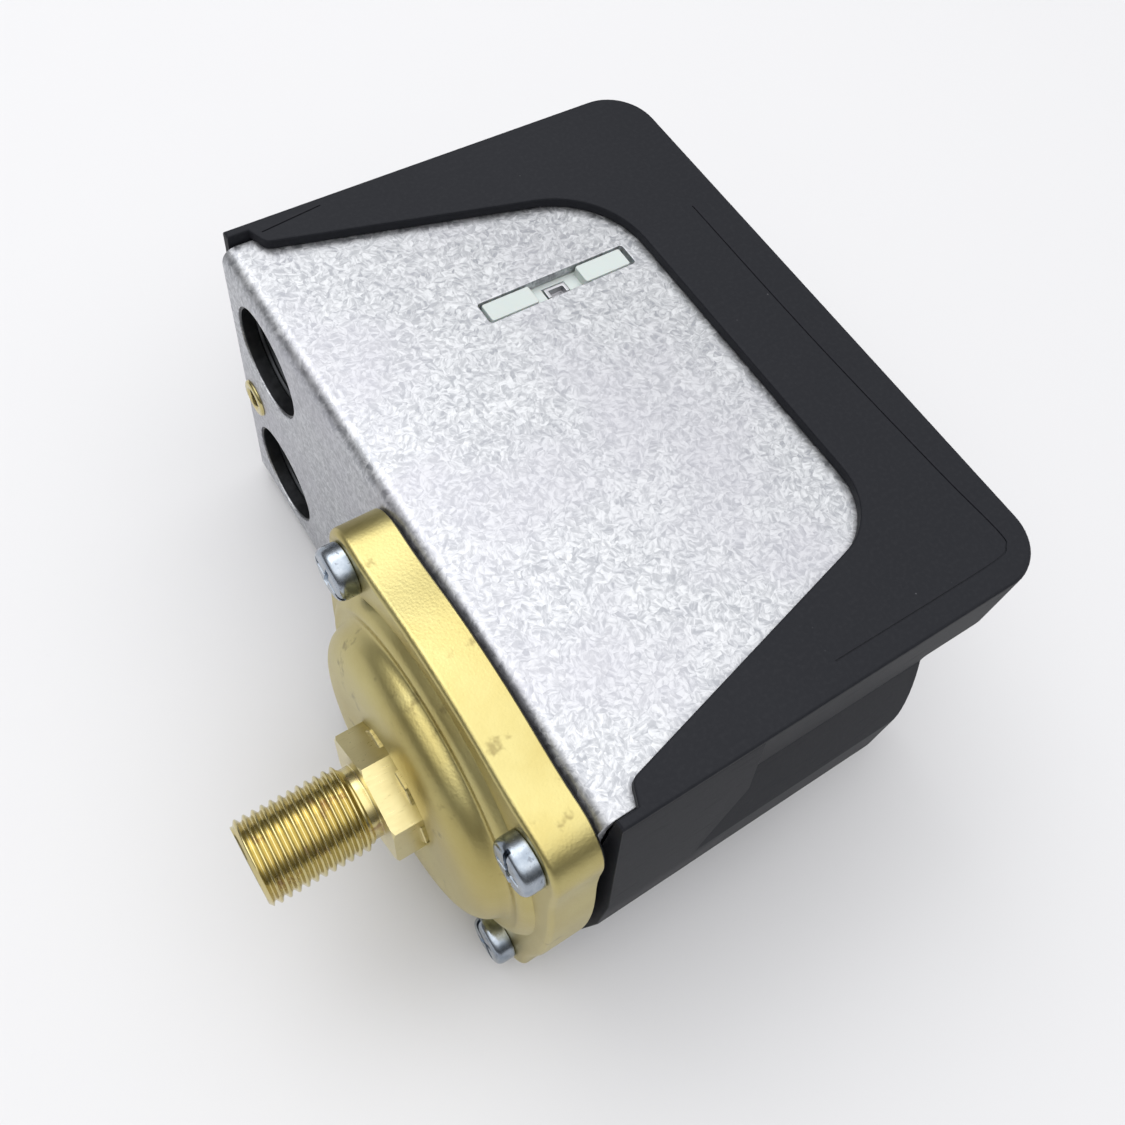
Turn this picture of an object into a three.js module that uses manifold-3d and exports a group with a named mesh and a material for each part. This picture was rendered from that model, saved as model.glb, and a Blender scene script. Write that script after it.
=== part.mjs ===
// Pressure switch with two conduit holes, lying on one side.
// Millimetres. +X runs from the pressure port to the top of the cover, +Y from front to back, +Z up.
import * as THREE from "three";
import { mergeVertices } from "three/addons/utils/BufferGeometryUtils.js";
import Module from "manifold-3d";

// Overall body
const bodyWidth = 62;
const bodyDepth = 106;
const coverTop = 75.8;
const coverMouth = 1.6;
const coverWall = 1.6;
const coverCorner = 8;
const coverEdge = 0.7;
const slideGap = 0.2;
const endGap = 0.3;
const midZ = bodyWidth / 2;

// How far a cutter reaches past the face it cuts, and the lap and clearances between pieces
const over = 1;
const lap = 0.1;
const snug = 0.05;
const baseGap = 0.3;

// Cut-out in each side panel of the cover
const cutMouthX = 5;
const cutStartX = 6.3;
const cutEndX = 58.5;
const cutStartInset = 4.8;
const cutFrontInset = 18;
const cutBackInset = 18.5;
const cutFrontRadius = 11;
const cutBackRadius = 15;
const cutTipRadius = 1.8;

// Raised hood on the front of the cover, and the finger notch above it
const hoodProud = 3.8;
const hoodFace = 11;
const hoodStrip = 14;
const hoodEnd = 57.3;
const hoodSplit = 23.7;
const hoodSplitLow = 16.5;
const hoodHollow = 1.8;
const notchDepth = 6.8;
const notchInset = 13;
const hoodLap = 0.2;
const hoodLip = 2;

// Folded steel chassis
const steel = 1.5;
const bendRadius = 2.5;
const topRoom = 3.8;
const chassisTop = coverTop - topRoom;
const slotStart = 28.8;
const slotLength = 26.6;
const slotWidth = 4;
const slotCorner = 0.5;

// Pressure port axis and its brass housing
const portY = 27.65;
const flangeHalf = 28.95;
const flangeCorner = 7;
const flangeBulge = 2;
const flangeThick = 7.2;
const diaphragmThick = 0.4;
const screwPitch = 46;
const chamberRadius = 20.5;
const chamberDepth = 4.2;
const domeRadius = 23.6;
const domeRise = 6.5;
const hexFlats = 17.4;
const hexTurn = 24;
const hexRise = 10.6;
const neckRadius = 5.5;
const neckLength = 2;
const threadMajor = 13.157;
const threadMinor = 11.445;
const threadPitch = 1.337;
const threadLength = 15.9;
const portBore = 3;
const webHoleRadius = 15;
const rimProud = 3.8;
const rimBevel = 0.5;
const filmInset = 0.5;
const threadTip = 0.5;

// Cheese-head machine screws that hold the housing
const flangeScrewHead = 4;
const flangeScrewRise = 3.2;
const flangeScrewShank = 2;
const flangeScrewReach = 3.5;
const holeClearance = 0.15;
const pocketGap = 0.3;
const recessWidth = 0.9;
const recessDepth = 1.2;
const crossLength = 4.6;
const driverSlot = 1;
const headCrown = [[1, 0], [0.3, 0.35], [0, 1]];
const tipChamfer = 0.6;

// Conduit holes and earth terminal in the end face
const conduitRadius = 9.2;
const ringWall = 1.6;
const ringDepth = 4;
const ringSideGap = 0.1;
const ringBackGap = 1.1;
const ringOuter = conduitRadius + ringWall;
const conduitY = bodyDepth - coverWall - endGap - ringBackGap - ringOuter;
const conduitOffset = midZ - coverWall - slideGap - bendRadius - ringSideGap - ringOuter;
const ringLip = 0.3;
const ringChamfer = 0.5;
const earthInset = 5.8;
const earthDrop = 2.3;
const earthY = bodyDepth - earthInset;
const earthZ = midZ - earthDrop;
const earthSleeve = 2.4;
const earthFlange = 3.3;
const earthBore = 1.7;
const earthLength = 6;
const earthProud = 0.6;
const earthHead = 2.2;
const earthTip = 1;

// Lever train
const plateRadius = 13.5;
const plateThick = 3;
const plungerRadius = 3;
const plungerEnd = 11;
const plungerFoot = 2;
const plungerFootRise = 1.5;
const contactGap = 0.3;
const leverThick = 2.5;
const leverFoot = 4.4;
const pivotY = 8;
const pivotX = 16;
const pinRadius = 1.5;
const pinClearance = 0.06;
const earThick = 2;
const earGap = 0.5;
const earHalf = 3.4;
const pinProud = 0.8;

// Range and differential springs with their screws and nuts
const springGap = 0.8;
const leverSwing = 1.2;
const rangeCoil = 7.7;
const rangeWire = 1.3;
const rangeTurns = 7;
const rangeLength = 32;
const rangeScrewRadius = 3;
const springCover = 0.4;
const rangeNutRadius = rangeCoil + rangeWire + springCover;
const rangeNutThick = 4;
const springSpan = 22.35;
const diffY = portY + springSpan;
const diffCoil = 4.6;
const diffWire = 0.7;
const diffTurns = 9;
const diffLength = 26.8;
const diffScrewRadius = 2;
const diffCover = 0.3;
const diffNutRadius = diffCoil + diffWire + diffCover;
const diffNutThick = 3.4;
const leverWidth = 2 * (rangeCoil + rangeWire);
const yokeDrop = 17.8;
const yokeX = coverTop - yokeDrop;
const yokeThick = 2;
const yokeFront = 14;
const yokeBack = 60;
const yokeTab = 9;
const headGap = 0.3;
const rangeHead = 5;
const rangeHeadRise = 5.5;
const diffHead = 3.6;
const diffHeadRise = 4.5;
const screwStart = 6;
const screwLead = 0.8;
const headSlotDepth = 1.6;
const headSlotWidth = 1.2;
const headChamfer = 0.5;
const threadGap = 0.08;
const pointerLow = 1;
const pointerThick = 2;
const pointerHalf = 2;
const pointerGap = 0.4;
const yokeHoleGap = 0.1;
const forkReach = 4;
const forkHalf = 6;
const scaleY = 12.5;
const scaleThick = 1;
const scaleHalf = 19;
const scaleFoot = 24;
const scaleEar = 8;
const scaleHook = 7;
const windowHalf = 7;
const windowDrop = 4;

// Contact set
const baseLow = 28;
const baseHigh = 42;
const baseTop = 56.4;
const baseInset = 8;
const baseDepth = 33;
const baseBack = bodyDepth - baseInset;
const baseFront = baseBack - baseDepth;
const cheekThick = 4;
const padLength = 8.4;
const padRise = 1.4;
const padStartGap = 0.5;
const padEndGap = 0.7;
const padSideGap = 0.25;
const clipHalf = 1.9;
const clipSink = 1.4;
const clipSide = 0.9;
const clipWall = 0.7;
const clipFloor = 0.55;
const clipLedge = 0.3;
const clipPocket = 1.2;
const clipGap = 0.2;
const stemInset = 9;
const contactY = baseFront + stemInset;
const poleCount = 3;
const slotInset = 10.6;
const slotMidY = baseFront + slotInset;
const stripMargin = 16.4;
const stripGap = 1.2;
const stripPitch = (bodyWidth - stripMargin) / (2 * poleCount);
const stripWidth = stripPitch - stripGap;
const stripThick = 1.2;
const stripInset = 1.5;
const terminalInset = 7;
const stripEnd = baseBack - stripInset;
const terminalY = baseBack - terminalInset;
const terminalHead = 2.7;
const terminalRise = 2.2;
const terminalShank = 1.5;
const terminalReach = 5.5;
const terminalHole = 6;
const terminalSlotDepth = 1;
const terminalSlotWidth = 0.8;
const terminalChamfer = 0.4;
const bridgeThick = 1.2;
const bridgeWidth = 5;
const buttonRadius = 1.5;
const buttonRise = 0.9;
const buttonInset = 0.5;
const bridgeRest = 0.1;
const bridgeReach = 2.4;
const stemGap = 0.4;
const carrierThick = 4;
const carrierWidth = 6.4;
const stemWidth = 10;
const stemThick = 4;
const tipReach = 3;
const leverTip = contactY + tipReach;

// Cover screw
const coverScrewRoom = 8.7;
const coverScrewX = hoodEnd + coverScrewRoom;
const coverScrewHead = 3.6;
const coverScrewRise = 2.6;
const coverScrewShank = 1.7;
const coverScrewReach = 9.4;

const wasm = await Module();
wasm.setup();

// Turns a closed three.js geometry into a solid, with its faces pointing outwards.
function solid(geometry) {
  const plain = geometry.clone();
  plain.deleteAttribute("normal");
  plain.deleteAttribute("uv");
  const joined = mergeVertices(plain, 1e-4);
  const points = joined.attributes.position.array;
  const faces = Uint32Array.from(joined.index.array);
  let volume = 0;
  for (let i = 0; i < faces.length; i += 3) {
    const a = new THREE.Vector3().fromArray(points, faces[i] * 3);
    const b = new THREE.Vector3().fromArray(points, faces[i + 1] * 3);
    const c = new THREE.Vector3().fromArray(points, faces[i + 2] * 3);
    volume += a.dot(b.cross(c));
  }
  if (volume < 0) {
    for (let i = 0; i < faces.length; i += 3) {
      const kept = faces[i + 1];
      faces[i + 1] = faces[i + 2];
      faces[i + 2] = kept;
    }
  }
  return new wasm.Manifold(
    new wasm.Mesh({ numProp: 3, vertProperties: Float32Array.from(points), triVerts: faces }),
  );
}

// Makes a named mesh from a solid.
function piece(name, shape, finish) {
  const mesh = shape.getMesh();
  const geometry = new THREE.BufferGeometry();
  geometry.setAttribute("position", new THREE.BufferAttribute(Float32Array.from(mesh.vertProperties), 3));
  geometry.setIndex(new THREE.BufferAttribute(Uint32Array.from(mesh.triVerts), 1));
  geometry.computeVertexNormals();
  const made = new THREE.Mesh(geometry, new THREE.MeshStandardMaterial(finish));
  made.name = name;
  return made;
}

function block(x0, x1, y0, y1, z0, z1) {
  const geometry = new THREE.BoxGeometry(x1 - x0, y1 - y0, z1 - z0);
  geometry.translate((x0 + x1) / 2, (y0 + y1) / 2, (z0 + z1) / 2);
  return solid(geometry);
}

// A closed profile of [radius, height] pairs turned about an axis along X, Y or Z.
function turned(profile, axis, centre, segments = 32) {
  const points = profile.map(([radius, height]) => new THREE.Vector2(radius, height));
  const geometry = new THREE.LatheGeometry(points, segments);
  if (axis === "x") geometry.rotateZ(-Math.PI / 2);
  if (axis === "z") geometry.rotateX(Math.PI / 2);
  geometry.translate(centre[0], centre[1], centre[2]);
  return solid(geometry);
}

function rod(axis, radius, low, high, first, second, segments = 24) {
  const profile = [[0, low], [radius, low], [radius, high], [0, high]];
  const centre = { x: [0, first, second], y: [first, 0, second], z: [first, second, 0] }[axis];
  return turned(profile, axis, centre, segments);
}

function outline(points) {
  return new THREE.Shape(points.map(([u, v]) => new THREE.Vector2(u, v)));
}

// Rounds the corners of a polygon given as [u, v, radius].
function rounded(corners, steps = 5) {
  const made = [];
  corners.forEach(([u, v, radius], index) => {
    const here = new THREE.Vector2(u, v);
    if (!radius) {
      made.push([u, v]);
      return;
    }
    const before = corners[(index + corners.length - 1) % corners.length];
    const after = corners[(index + 1) % corners.length];
    const back = new THREE.Vector2(before[0], before[1]).sub(here).normalize();
    const ahead = new THREE.Vector2(after[0], after[1]).sub(here).normalize();
    const half = Math.acos(back.dot(ahead)) / 2;
    const middle = back.clone().add(ahead).normalize().multiplyScalar(radius / Math.sin(half)).add(here);
    const start = here.clone().addScaledVector(back, radius / Math.tan(half)).sub(middle);
    const end = here.clone().addScaledVector(ahead, radius / Math.tan(half)).sub(middle);
    let turn = end.angle() - start.angle();
    if (turn > Math.PI) turn -= 2 * Math.PI;
    if (turn < -Math.PI) turn += 2 * Math.PI;
    for (let step = 0; step <= steps; step += 1) {
      const angle = start.angle() + (turn * step) / steps;
      made.push([middle.x + radius * Math.cos(angle), middle.y + radius * Math.sin(angle)]);
    }
  });
  return made;
}

// Extrudes a polygon along Z (drawn in X, Y), Y (drawn in X, Z) or X (drawn in Y, Z).
function extruded(axis, points, low, high, bevel = 0) {
  const depth = high - low - 2 * bevel;
  const geometry = new THREE.ExtrudeGeometry(outline(points), {
    depth,
    bevelEnabled: bevel > 0,
    bevelThickness: bevel,
    bevelSize: bevel,
    bevelOffset: -bevel,
    bevelSegments: 2,
    curveSegments: 1,
  });
  geometry.translate(0, 0, bevel);
  if (axis === "z") geometry.translate(0, 0, low);
  if (axis === "y") {
    geometry.rotateX(Math.PI / 2);
    geometry.translate(0, high, 0);
  }
  if (axis === "x") {
    const basis = new THREE.Matrix4().makeBasis(
      new THREE.Vector3(0, 1, 0),
      new THREE.Vector3(0, 0, 1),
      new THREE.Vector3(1, 0, 0),
    );
    geometry.applyMatrix4(basis);
    geometry.translate(low, 0, 0);
  }
  return solid(geometry);
}

// Cross-shaped driver recess sunk into a screw head, pointing along an axis.
function crossRecess(axis, face, depth, length, first, second) {
  const low = Math.min(face, face + depth);
  const high = Math.max(face, face + depth);
  const half = recessWidth / 2;
  const span = length / 2;
  if (axis === "x") {
    const upright = block(low, high, first - half, first + half, second - span, second + span);
    return upright.add(block(low, high, first - span, first + span, second - half, second + half));
  }
  const upright = block(first - half, first + half, low, high, second - span, second + span);
  return upright.add(block(first - span, first + span, low, high, second - half, second + half));
}

// Spots of the four housing screws, as [y, z].
function screwSpots() {
  const half = screwPitch / 2;
  return [
    [portY + half, midZ + half],
    [portY - half, midZ + half],
    [portY - half, midZ - half],
    [portY + half, midZ - half],
  ];
}

// Square with rounded lugs and softly bulging sides, shrunk by an inset.
function flangeOutline(inset) {
  const half = flangeHalf - inset;
  const side = [[-half, half, flangeCorner]];
  const swell = [0, 0.22, 0.52, 0.78, 0.94, 1, 0.94, 0.78, 0.52, 0.22, 0];
  swell.forEach((share, index) => {
    side.push([half * 0.66 * (index / 5 - 1), half + flangeBulge * share, 0]);
  });
  const corners = [];
  for (let quarter = 0; quarter < 4; quarter += 1) {
    const angle = (-quarter * Math.PI) / 2;
    side.forEach(([u, v, radius]) => {
      corners.push([
        portY + u * Math.cos(angle) - v * Math.sin(angle),
        midZ + u * Math.sin(angle) + v * Math.cos(angle),
        radius,
      ]);
    });
  }
  return rounded(corners);
}

function makeChassis() {
  const low = coverWall + slideGap;
  const high = bodyWidth - low;
  const inner = bendRadius - steel;
  const channel = rounded([
    [0, low, bendRadius],
    [chassisTop, low, 0],
    [chassisTop, low + steel, 0],
    [steel, low + steel, inner],
    [steel, high - steel, inner],
    [chassisTop, high - steel, 0],
    [chassisTop, high, 0],
    [0, high, bendRadius],
  ], 4);
  let shape = extruded("y", channel, coverWall + endGap, bodyDepth - coverWall - endGap);
  const past = steel + over;
  shape = shape.subtract(rod("x", webHoleRadius, -over, past, portY, midZ, 40));
  screwSpots().forEach(([y, z]) => {
    shape = shape.subtract(rod("x", flangeScrewShank + holeClearance, -over, past, y, z, 16));
  });
  [-1, 1].forEach((side) => {
    shape = shape.subtract(rod("x", conduitRadius, -over, past, conduitY, midZ + side * conduitOffset, 40));
  });
  shape = shape.subtract(rod("x", earthSleeve + snug, -over, past, earthY, earthZ, 20));
  const slot = rounded([
    [slotStart, slotMidY - slotWidth / 2, slotCorner],
    [slotStart + slotLength, slotMidY - slotWidth / 2, slotCorner],
    [slotStart + slotLength, slotMidY + slotWidth / 2, slotCorner],
    [slotStart, slotMidY + slotWidth / 2, slotCorner],
  ], 2);
  shape = shape.subtract(extruded("z", slot, high - steel - over, high + over));
  const plan = rounded([
    [-over, 0, 0],
    [chassisTop, 0, coverCorner],
    [chassisTop, bodyDepth, coverCorner],
    [-over, bodyDepth, 0],
  ]);
  return shape.intersect(extruded("z", plan, 0, bodyWidth));
}

// Trapezium cut-out through both side panels, open at the mouth.
function coverCutout() {
  const back = bodyDepth;
  const points = rounded([
    [-over, coverWall, 0],
    [cutMouthX, coverWall, 0],
    [cutStartX, cutStartInset, cutTipRadius],
    [cutEndX, cutFrontInset, cutFrontRadius],
    [cutEndX, back - cutBackInset, cutBackRadius],
    [cutStartX, back - cutStartInset, cutTipRadius],
    [cutMouthX, back - coverWall, 0],
    [-over, back - coverWall, 0],
  ]);
  return extruded("z", points, -over, bodyWidth + over);
}

// Hood on the front wall: a long sloping facet near the mouth, then a deeper channel up to its end.
function coverHood() {
  const face = hoodFace / 2;
  const behind = coverWall - hoodLap;
  const slope = midZ - coverEdge;
  const facet = [
    [behind, midZ + slope], [0, midZ + slope], [-hoodProud, midZ + face],
    [-hoodProud, midZ - face], [0, midZ - slope], [behind, midZ - slope],
  ];
  const strip = midZ - hoodStrip;
  const channel = [
    [behind, midZ + strip], [0, midZ + strip], [-hoodProud, midZ + face],
    [-hoodProud, midZ - face], [0, midZ - strip], [behind, midZ - strip],
  ];
  let near = extruded("x", facet, coverMouth, hoodSplit);
  [-1, 1].forEach((side) => {
    const wedge = [
      [hoodSplitLow, midZ + side * face],
      [hoodSplit, midZ + side * strip],
      [hoodSplit, midZ + side * (midZ + over)],
      [hoodSplit + over, midZ + side * (midZ + over)],
      [hoodSplit + over, midZ + side * face],
    ];
    near = near.subtract(extruded("y", wedge, -hoodProud - over, coverWall));
  });
  return near.add(extruded("x", channel, hoodSplitLow - over, hoodEnd));
}

function makeCover() {
  const shell = rounded([
    [coverMouth, 0, 0],
    [coverTop, 0, coverCorner],
    [coverTop, bodyDepth, coverCorner],
    [coverMouth, bodyDepth, 0],
  ], 7);
  let shape = extruded("z", shell, 0, bodyWidth, coverEdge).add(coverHood());
  const notchEnd = bodyWidth - notchInset;
  shape = shape.subtract(block(hoodEnd, coverTop + over, -hoodProud - over, notchDepth, notchInset,
    notchEnd));
  const roof = coverTop - coverWall;
  const inside = rounded([
    [-over, coverWall, 0],
    [roof, coverWall, coverCorner - coverWall],
    [roof, bodyDepth - coverWall, coverCorner - coverWall],
    [-over, bodyDepth - coverWall, 0],
  ], 5);
  const pocketWall = notchDepth + coverWall;
  const kept = block(hoodEnd - coverWall, coverTop + over, 0, pocketWall, notchInset - coverWall,
    notchEnd + coverWall);
  shape = shape.subtract(extruded("z", inside, coverWall, bodyWidth - coverWall).subtract(kept));
  const face = hoodFace / 2;
  shape = shape.subtract(block(coverMouth + hoodLip, hoodEnd - coverWall, -hoodHollow, coverWall + lap,
    midZ - face, midZ + face));
  shape = shape.subtract(coverCutout());
  return shape.subtract(rod("y", coverScrewShank + holeClearance, notchDepth - over, pocketWall + over,
    coverScrewX, midZ));
}

function makeCoverScrew() {
  const face = notchDepth - coverScrewRise;
  const end = notchDepth + coverScrewReach;
  const rim = coverScrewHead - headChamfer;
  const profile = [
    [0, face], [rim, face], [coverScrewHead, face + tipChamfer], [coverScrewHead, notchDepth],
    [coverScrewShank, notchDepth], [coverScrewShank, end - tipChamfer], [coverScrewShank - headChamfer, end],
    [0, end],
  ];
  const shape = turned(profile, "y", [coverScrewX, 0, midZ]);
  return shape.subtract(crossRecess("y", face - lap, recessDepth, 2 * rim - driverSlot, coverScrewX, midZ));
}

// Brass housing: flange, stepped dome, hexagon, neck and ridged spigot, with its chamber and bore.
function makeHousing() {
  const back = -diaphragmThick;
  const front = back - flangeThick;
  let shape = extruded("x", flangeOutline(0), front, back, rimBevel);
  const rim = domeRadius + rimProud;
  const crown = front - domeRise;
  const dome = [
    [0, back - over], [rim, back - over], [rim, front], [rim - 0.5, front - 1.1], [rim - 1.4, front - 1.6],
    [rim - 2.2, front - 1.3], [domeRadius + 0.6, front - 1.8], [domeRadius, crown + 3],
    [domeRadius - 1.2, crown + 1.6], [domeRadius - 3.8, crown + 0.5], [domeRadius - 8, crown], [0, crown],
  ];
  shape = shape.add(turned(dome, "x", [0, portY, midZ], 44));
  const hexCorner = hexFlats / Math.sqrt(3);
  const hexPoints = [];
  for (let corner = 0; corner < 6; corner += 1) {
    const angle = ((hexTurn + corner * 60) * Math.PI) / 180;
    hexPoints.push([portY + hexCorner * Math.cos(angle), midZ + hexCorner * Math.sin(angle)]);
  }
  const hexFace = front - hexRise;
  shape = shape.add(extruded("x", hexPoints, hexFace, front - over));
  const crest = threadMajor / 2;
  const root = threadMinor / 2;
  const start = hexFace - neckLength;
  const end = start - threadLength;
  const spigot = [[0, hexFace + over], [neckRadius, hexFace + over], [neckRadius, start]];
  const ridges = Math.floor((threadLength - 2 * threadTip) / threadPitch);
  for (let ridge = 0; ridge < ridges; ridge += 1) {
    const at = start - ridge * threadPitch;
    spigot.push([root, at - 0.02]);
    spigot.push([crest, at - threadPitch * 0.45]);
    spigot.push([crest, at - threadPitch * 0.6]);
  }
  spigot.push([root, start - ridges * threadPitch]);
  spigot.push([root, end + threadTip]);
  spigot.push([root - threadTip, end]);
  spigot.push([0, end]);
  shape = shape.add(turned(spigot, "x", [0, portY, midZ], 26));
  const deep = back - chamberDepth;
  const chamber = [[0, back + over], [chamberRadius, back + over], [chamberRadius, deep], [0, deep]];
  shape = shape.subtract(turned(chamber, "x", [0, portY, midZ], 40));
  shape = shape.subtract(rod("x", portBore, end - over, back, portY, midZ));
  screwSpots().forEach(([y, z]) => {
    shape = shape.subtract(rod("x", flangeScrewShank + holeClearance, front - over, back + over, y, z, 20));
    shape = shape.subtract(rod("x", flangeScrewHead + pocketGap, front - domeRise, front, y, z, 28));
  });
  return shape;
}

function makeFlangeScrew([y, z]) {
  const seat = -diaphragmThick - flangeThick;
  const face = seat - flangeScrewRise;
  const profile = [
    [0, face],
    ...headCrown.map(([inset, drop]) => [flangeScrewHead - inset, face + drop]),
    [flangeScrewHead, seat], [flangeScrewShank, seat], [flangeScrewShank, flangeScrewReach],
    [0, flangeScrewReach],
  ];
  const shape = turned(profile, "x", [0, y, z], 28);
  const slot = block(face - over, face + recessDepth * 0.6, y - driverSlot / 2, y + driverSlot / 2,
    z - flangeScrewHead - over, z + flangeScrewHead + over);
  return shape.subtract(crossRecess("x", face - lap, recessDepth, crossLength, y, z)).subtract(slot);
}

function makeDiaphragm() {
  let shape = extruded("x", flangeOutline(filmInset), -diaphragmThick, 0);
  screwSpots().forEach(([y, z]) => {
    shape = shape.subtract(rod("x", flangeScrewShank + holeClearance, -diaphragmThick - over, over, y, z,
      16));
  });
  return shape;
}

function makeThrustPlate() {
  const profile = [
    [0, snug], [plateRadius, snug], [plateRadius, plateThick], [plungerRadius + plungerFoot, plateThick],
    [plungerRadius, plateThick + plungerFootRise], [plungerRadius, plungerEnd - tipChamfer],
    [plungerRadius - tipChamfer, plungerEnd], [0, plungerEnd],
  ];
  return turned(profile, "x", [0, portY, midZ], 36);
}

function makeLever() {
  const low = plungerEnd + contactGap;
  const high = low + leverThick;
  const half = leverWidth / 2;
  let shape = block(low, high, leverFoot, leverTip, midZ - half, midZ + half);
  [-1, 1].forEach((side) => {
    const edge = midZ + side * half;
    const inner = midZ + side * (half - earThick);
    const ear = block(low, pivotX + earHalf, leverFoot, pivotY + earHalf, Math.min(edge, inner),
      Math.max(edge, inner));
    shape = shape.add(ear);
  });
  return shape.subtract(rod("z", pinRadius + pinClearance, midZ - half - over, midZ + half + over, pivotX,
    pivotY));
}

function makePivotBracket() {
  const inner = leverWidth / 2 + earGap;
  const outer = inner + earThick;
  let shape = block(steel, steel + earThick, leverFoot, pivotY + earHalf, midZ - outer, midZ + outer);
  [-1, 1].forEach((side) => {
    const near = midZ + side * inner;
    const far = midZ + side * outer;
    shape = shape.add(block(steel, pivotX + earHalf, leverFoot, pivotY + earHalf, Math.min(near, far),
      Math.max(near, far)));
  });
  return shape.subtract(rod("z", pinRadius, midZ - outer - over, midZ + outer + over, pivotX, pivotY));
}

function makePivotPin() {
  const half = leverWidth / 2 + earGap + earThick + pinProud;
  return rod("z", pinRadius, midZ - half, midZ + half, pivotX, pivotY);
}

const springStart = plungerEnd + contactGap + leverThick + springGap;
const springSteps = 10;
const springSides = 5;
const springSeat = 0.8;
const coilGap = 0.15;

// Round-wire compression spring along X, with its ends closed flat enough to seat.
function makeSpring(y, coil, wire, turns, start, length) {
  const steps = turns * springSteps;
  const low = start + wire;
  const high = start + length - wire;
  const seated = springSeat * (2 * wire + coilGap);
  const points = [];
  for (let step = 0; step <= steps; step += 1) {
    const along = step / steps;
    const angle = along * turns * 2 * Math.PI;
    const eased = Math.min(Math.max((along * turns - springSeat) / (turns - 2 * springSeat), 0), 1);
    points.push(new THREE.Vector3(
      low + eased * (high - low),
      y + coil * Math.cos(angle),
      midZ + coil * Math.sin(angle),
    ));
  }
  for (let step = 0; step <= steps; step += 1) {
    const closed = Math.min(step, steps - step) / springSteps;
    const lift = Math.max(0, springSeat - closed) * (2 * wire + coilGap);
    points[step].x += step < steps / 2 ? seated - lift : lift - seated;
  }
  const path = new THREE.CatmullRomCurve3(points);
  const ring = [];
  for (let side = 0; side < springSides; side += 1) {
    const angle = (side * 2 * Math.PI) / springSides;
    ring.push([wire * Math.cos(angle), wire * Math.sin(angle)]);
  }
  return solid(new THREE.ExtrudeGeometry(outline(ring), { steps, extrudePath: path, bevelEnabled: false }));
}

// Spring seat nut with a central hole and a guide arm that ends as a pointer.
function makeNut(y, radius, thick, springEnd, shank, pointer) {
  const low = springEnd + lap;
  let shape = rod("x", radius, low, low + thick, y, midZ, 6);
  if (pointer) {
    const foot = low + pointerLow;
    shape = shape.add(block(foot, foot + pointerThick, scaleY + scaleThick + pointerGap, y - 2,
      midZ - pointerHalf, midZ + pointerHalf));
  }
  return shape.subtract(rod("x", shank + threadGap, low - over, low + thick + over, y, midZ));
}

// Adjusting screw with a slotted head above the yoke.
function makeAdjuster(y, shank, head, rise) {
  const seat = yokeX + yokeThick + headGap;
  const start = springStart + screwStart;
  const profile = [
    [0, start], [shank - headChamfer, start], [shank, start + screwLead], [shank, seat],
    [head, seat], [head, seat + rise - headChamfer], [head - headChamfer, seat + rise], [0, seat + rise],
  ];
  const shape = turned(profile, "x", [0, y, midZ]);
  const top = seat + rise;
  return shape.subtract(block(top - headSlotDepth, top + over, y - headSlotWidth / 2, y + headSlotWidth / 2,
    midZ - head - over, midZ + head + over));
}

// Yoke across the chassis that carries the adjusting screws and the fork for the cover screw.
function makeYoke() {
  const low = coverWall + slideGap + steel;
  const high = bodyWidth - low;
  const back = yokeX + yokeThick;
  let shape = block(yokeX, back, yokeFront, yokeBack, low, high);
  shape = shape.add(block(yokeX - yokeTab, back, yokeFront, yokeBack, low, low + steel));
  shape = shape.add(block(yokeX - yokeTab, back, yokeFront, yokeBack, high - steel, high));
  const fork = coverScrewX + forkReach;
  const slot = coverScrewShank + yokeHoleGap;
  const forkBack = yokeFront + steel;
  shape = shape.add(block(yokeX, fork, yokeFront, forkBack, midZ - forkHalf, midZ + forkHalf));
  shape = shape.subtract(rod("y", slot, yokeFront - over, forkBack + over, coverScrewX, midZ));
  shape = shape.subtract(block(coverScrewX, fork + over, yokeFront - over, forkBack + over, midZ - slot,
    midZ + slot));
  shape = shape.subtract(rod("x", rangeScrewRadius + yokeHoleGap, yokeX - over, back + over, portY, midZ));
  return shape.subtract(rod("x", diffScrewRadius + yokeHoleGap, yokeX - over, back + over, diffY, midZ));
}

// Scale plate in front of the range spring, hooked over the yoke by two ears.
function makeScalePlate() {
  const back = yokeX + yokeThick;
  const face = scaleY + scaleThick;
  let shape = block(scaleFoot, back + scaleThick, scaleY, face, midZ - scaleHalf, midZ + scaleHalf);
  [-1, 1].forEach((side) => {
    const near = midZ + side * (scaleHalf - scaleEar);
    const far = midZ + side * scaleHalf;
    shape = shape.add(block(back, back + scaleThick, scaleY, yokeFront + scaleHook, Math.min(near, far),
      Math.max(near, far)));
  });
  return shape.subtract(block(yokeX - windowDrop, back + 2 * scaleThick, scaleY - over, face + lap,
    midZ - windowHalf, midZ + windowHalf));
}

// Fixed contact lines, spread evenly about the middle plane.
function stripZ(index) {
  return midZ + (index - (2 * poleCount - 1) / 2) * stripPitch;
}

const bridgeY = contactY + stemThick / 2 + stemGap + bridgeWidth / 2;

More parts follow.
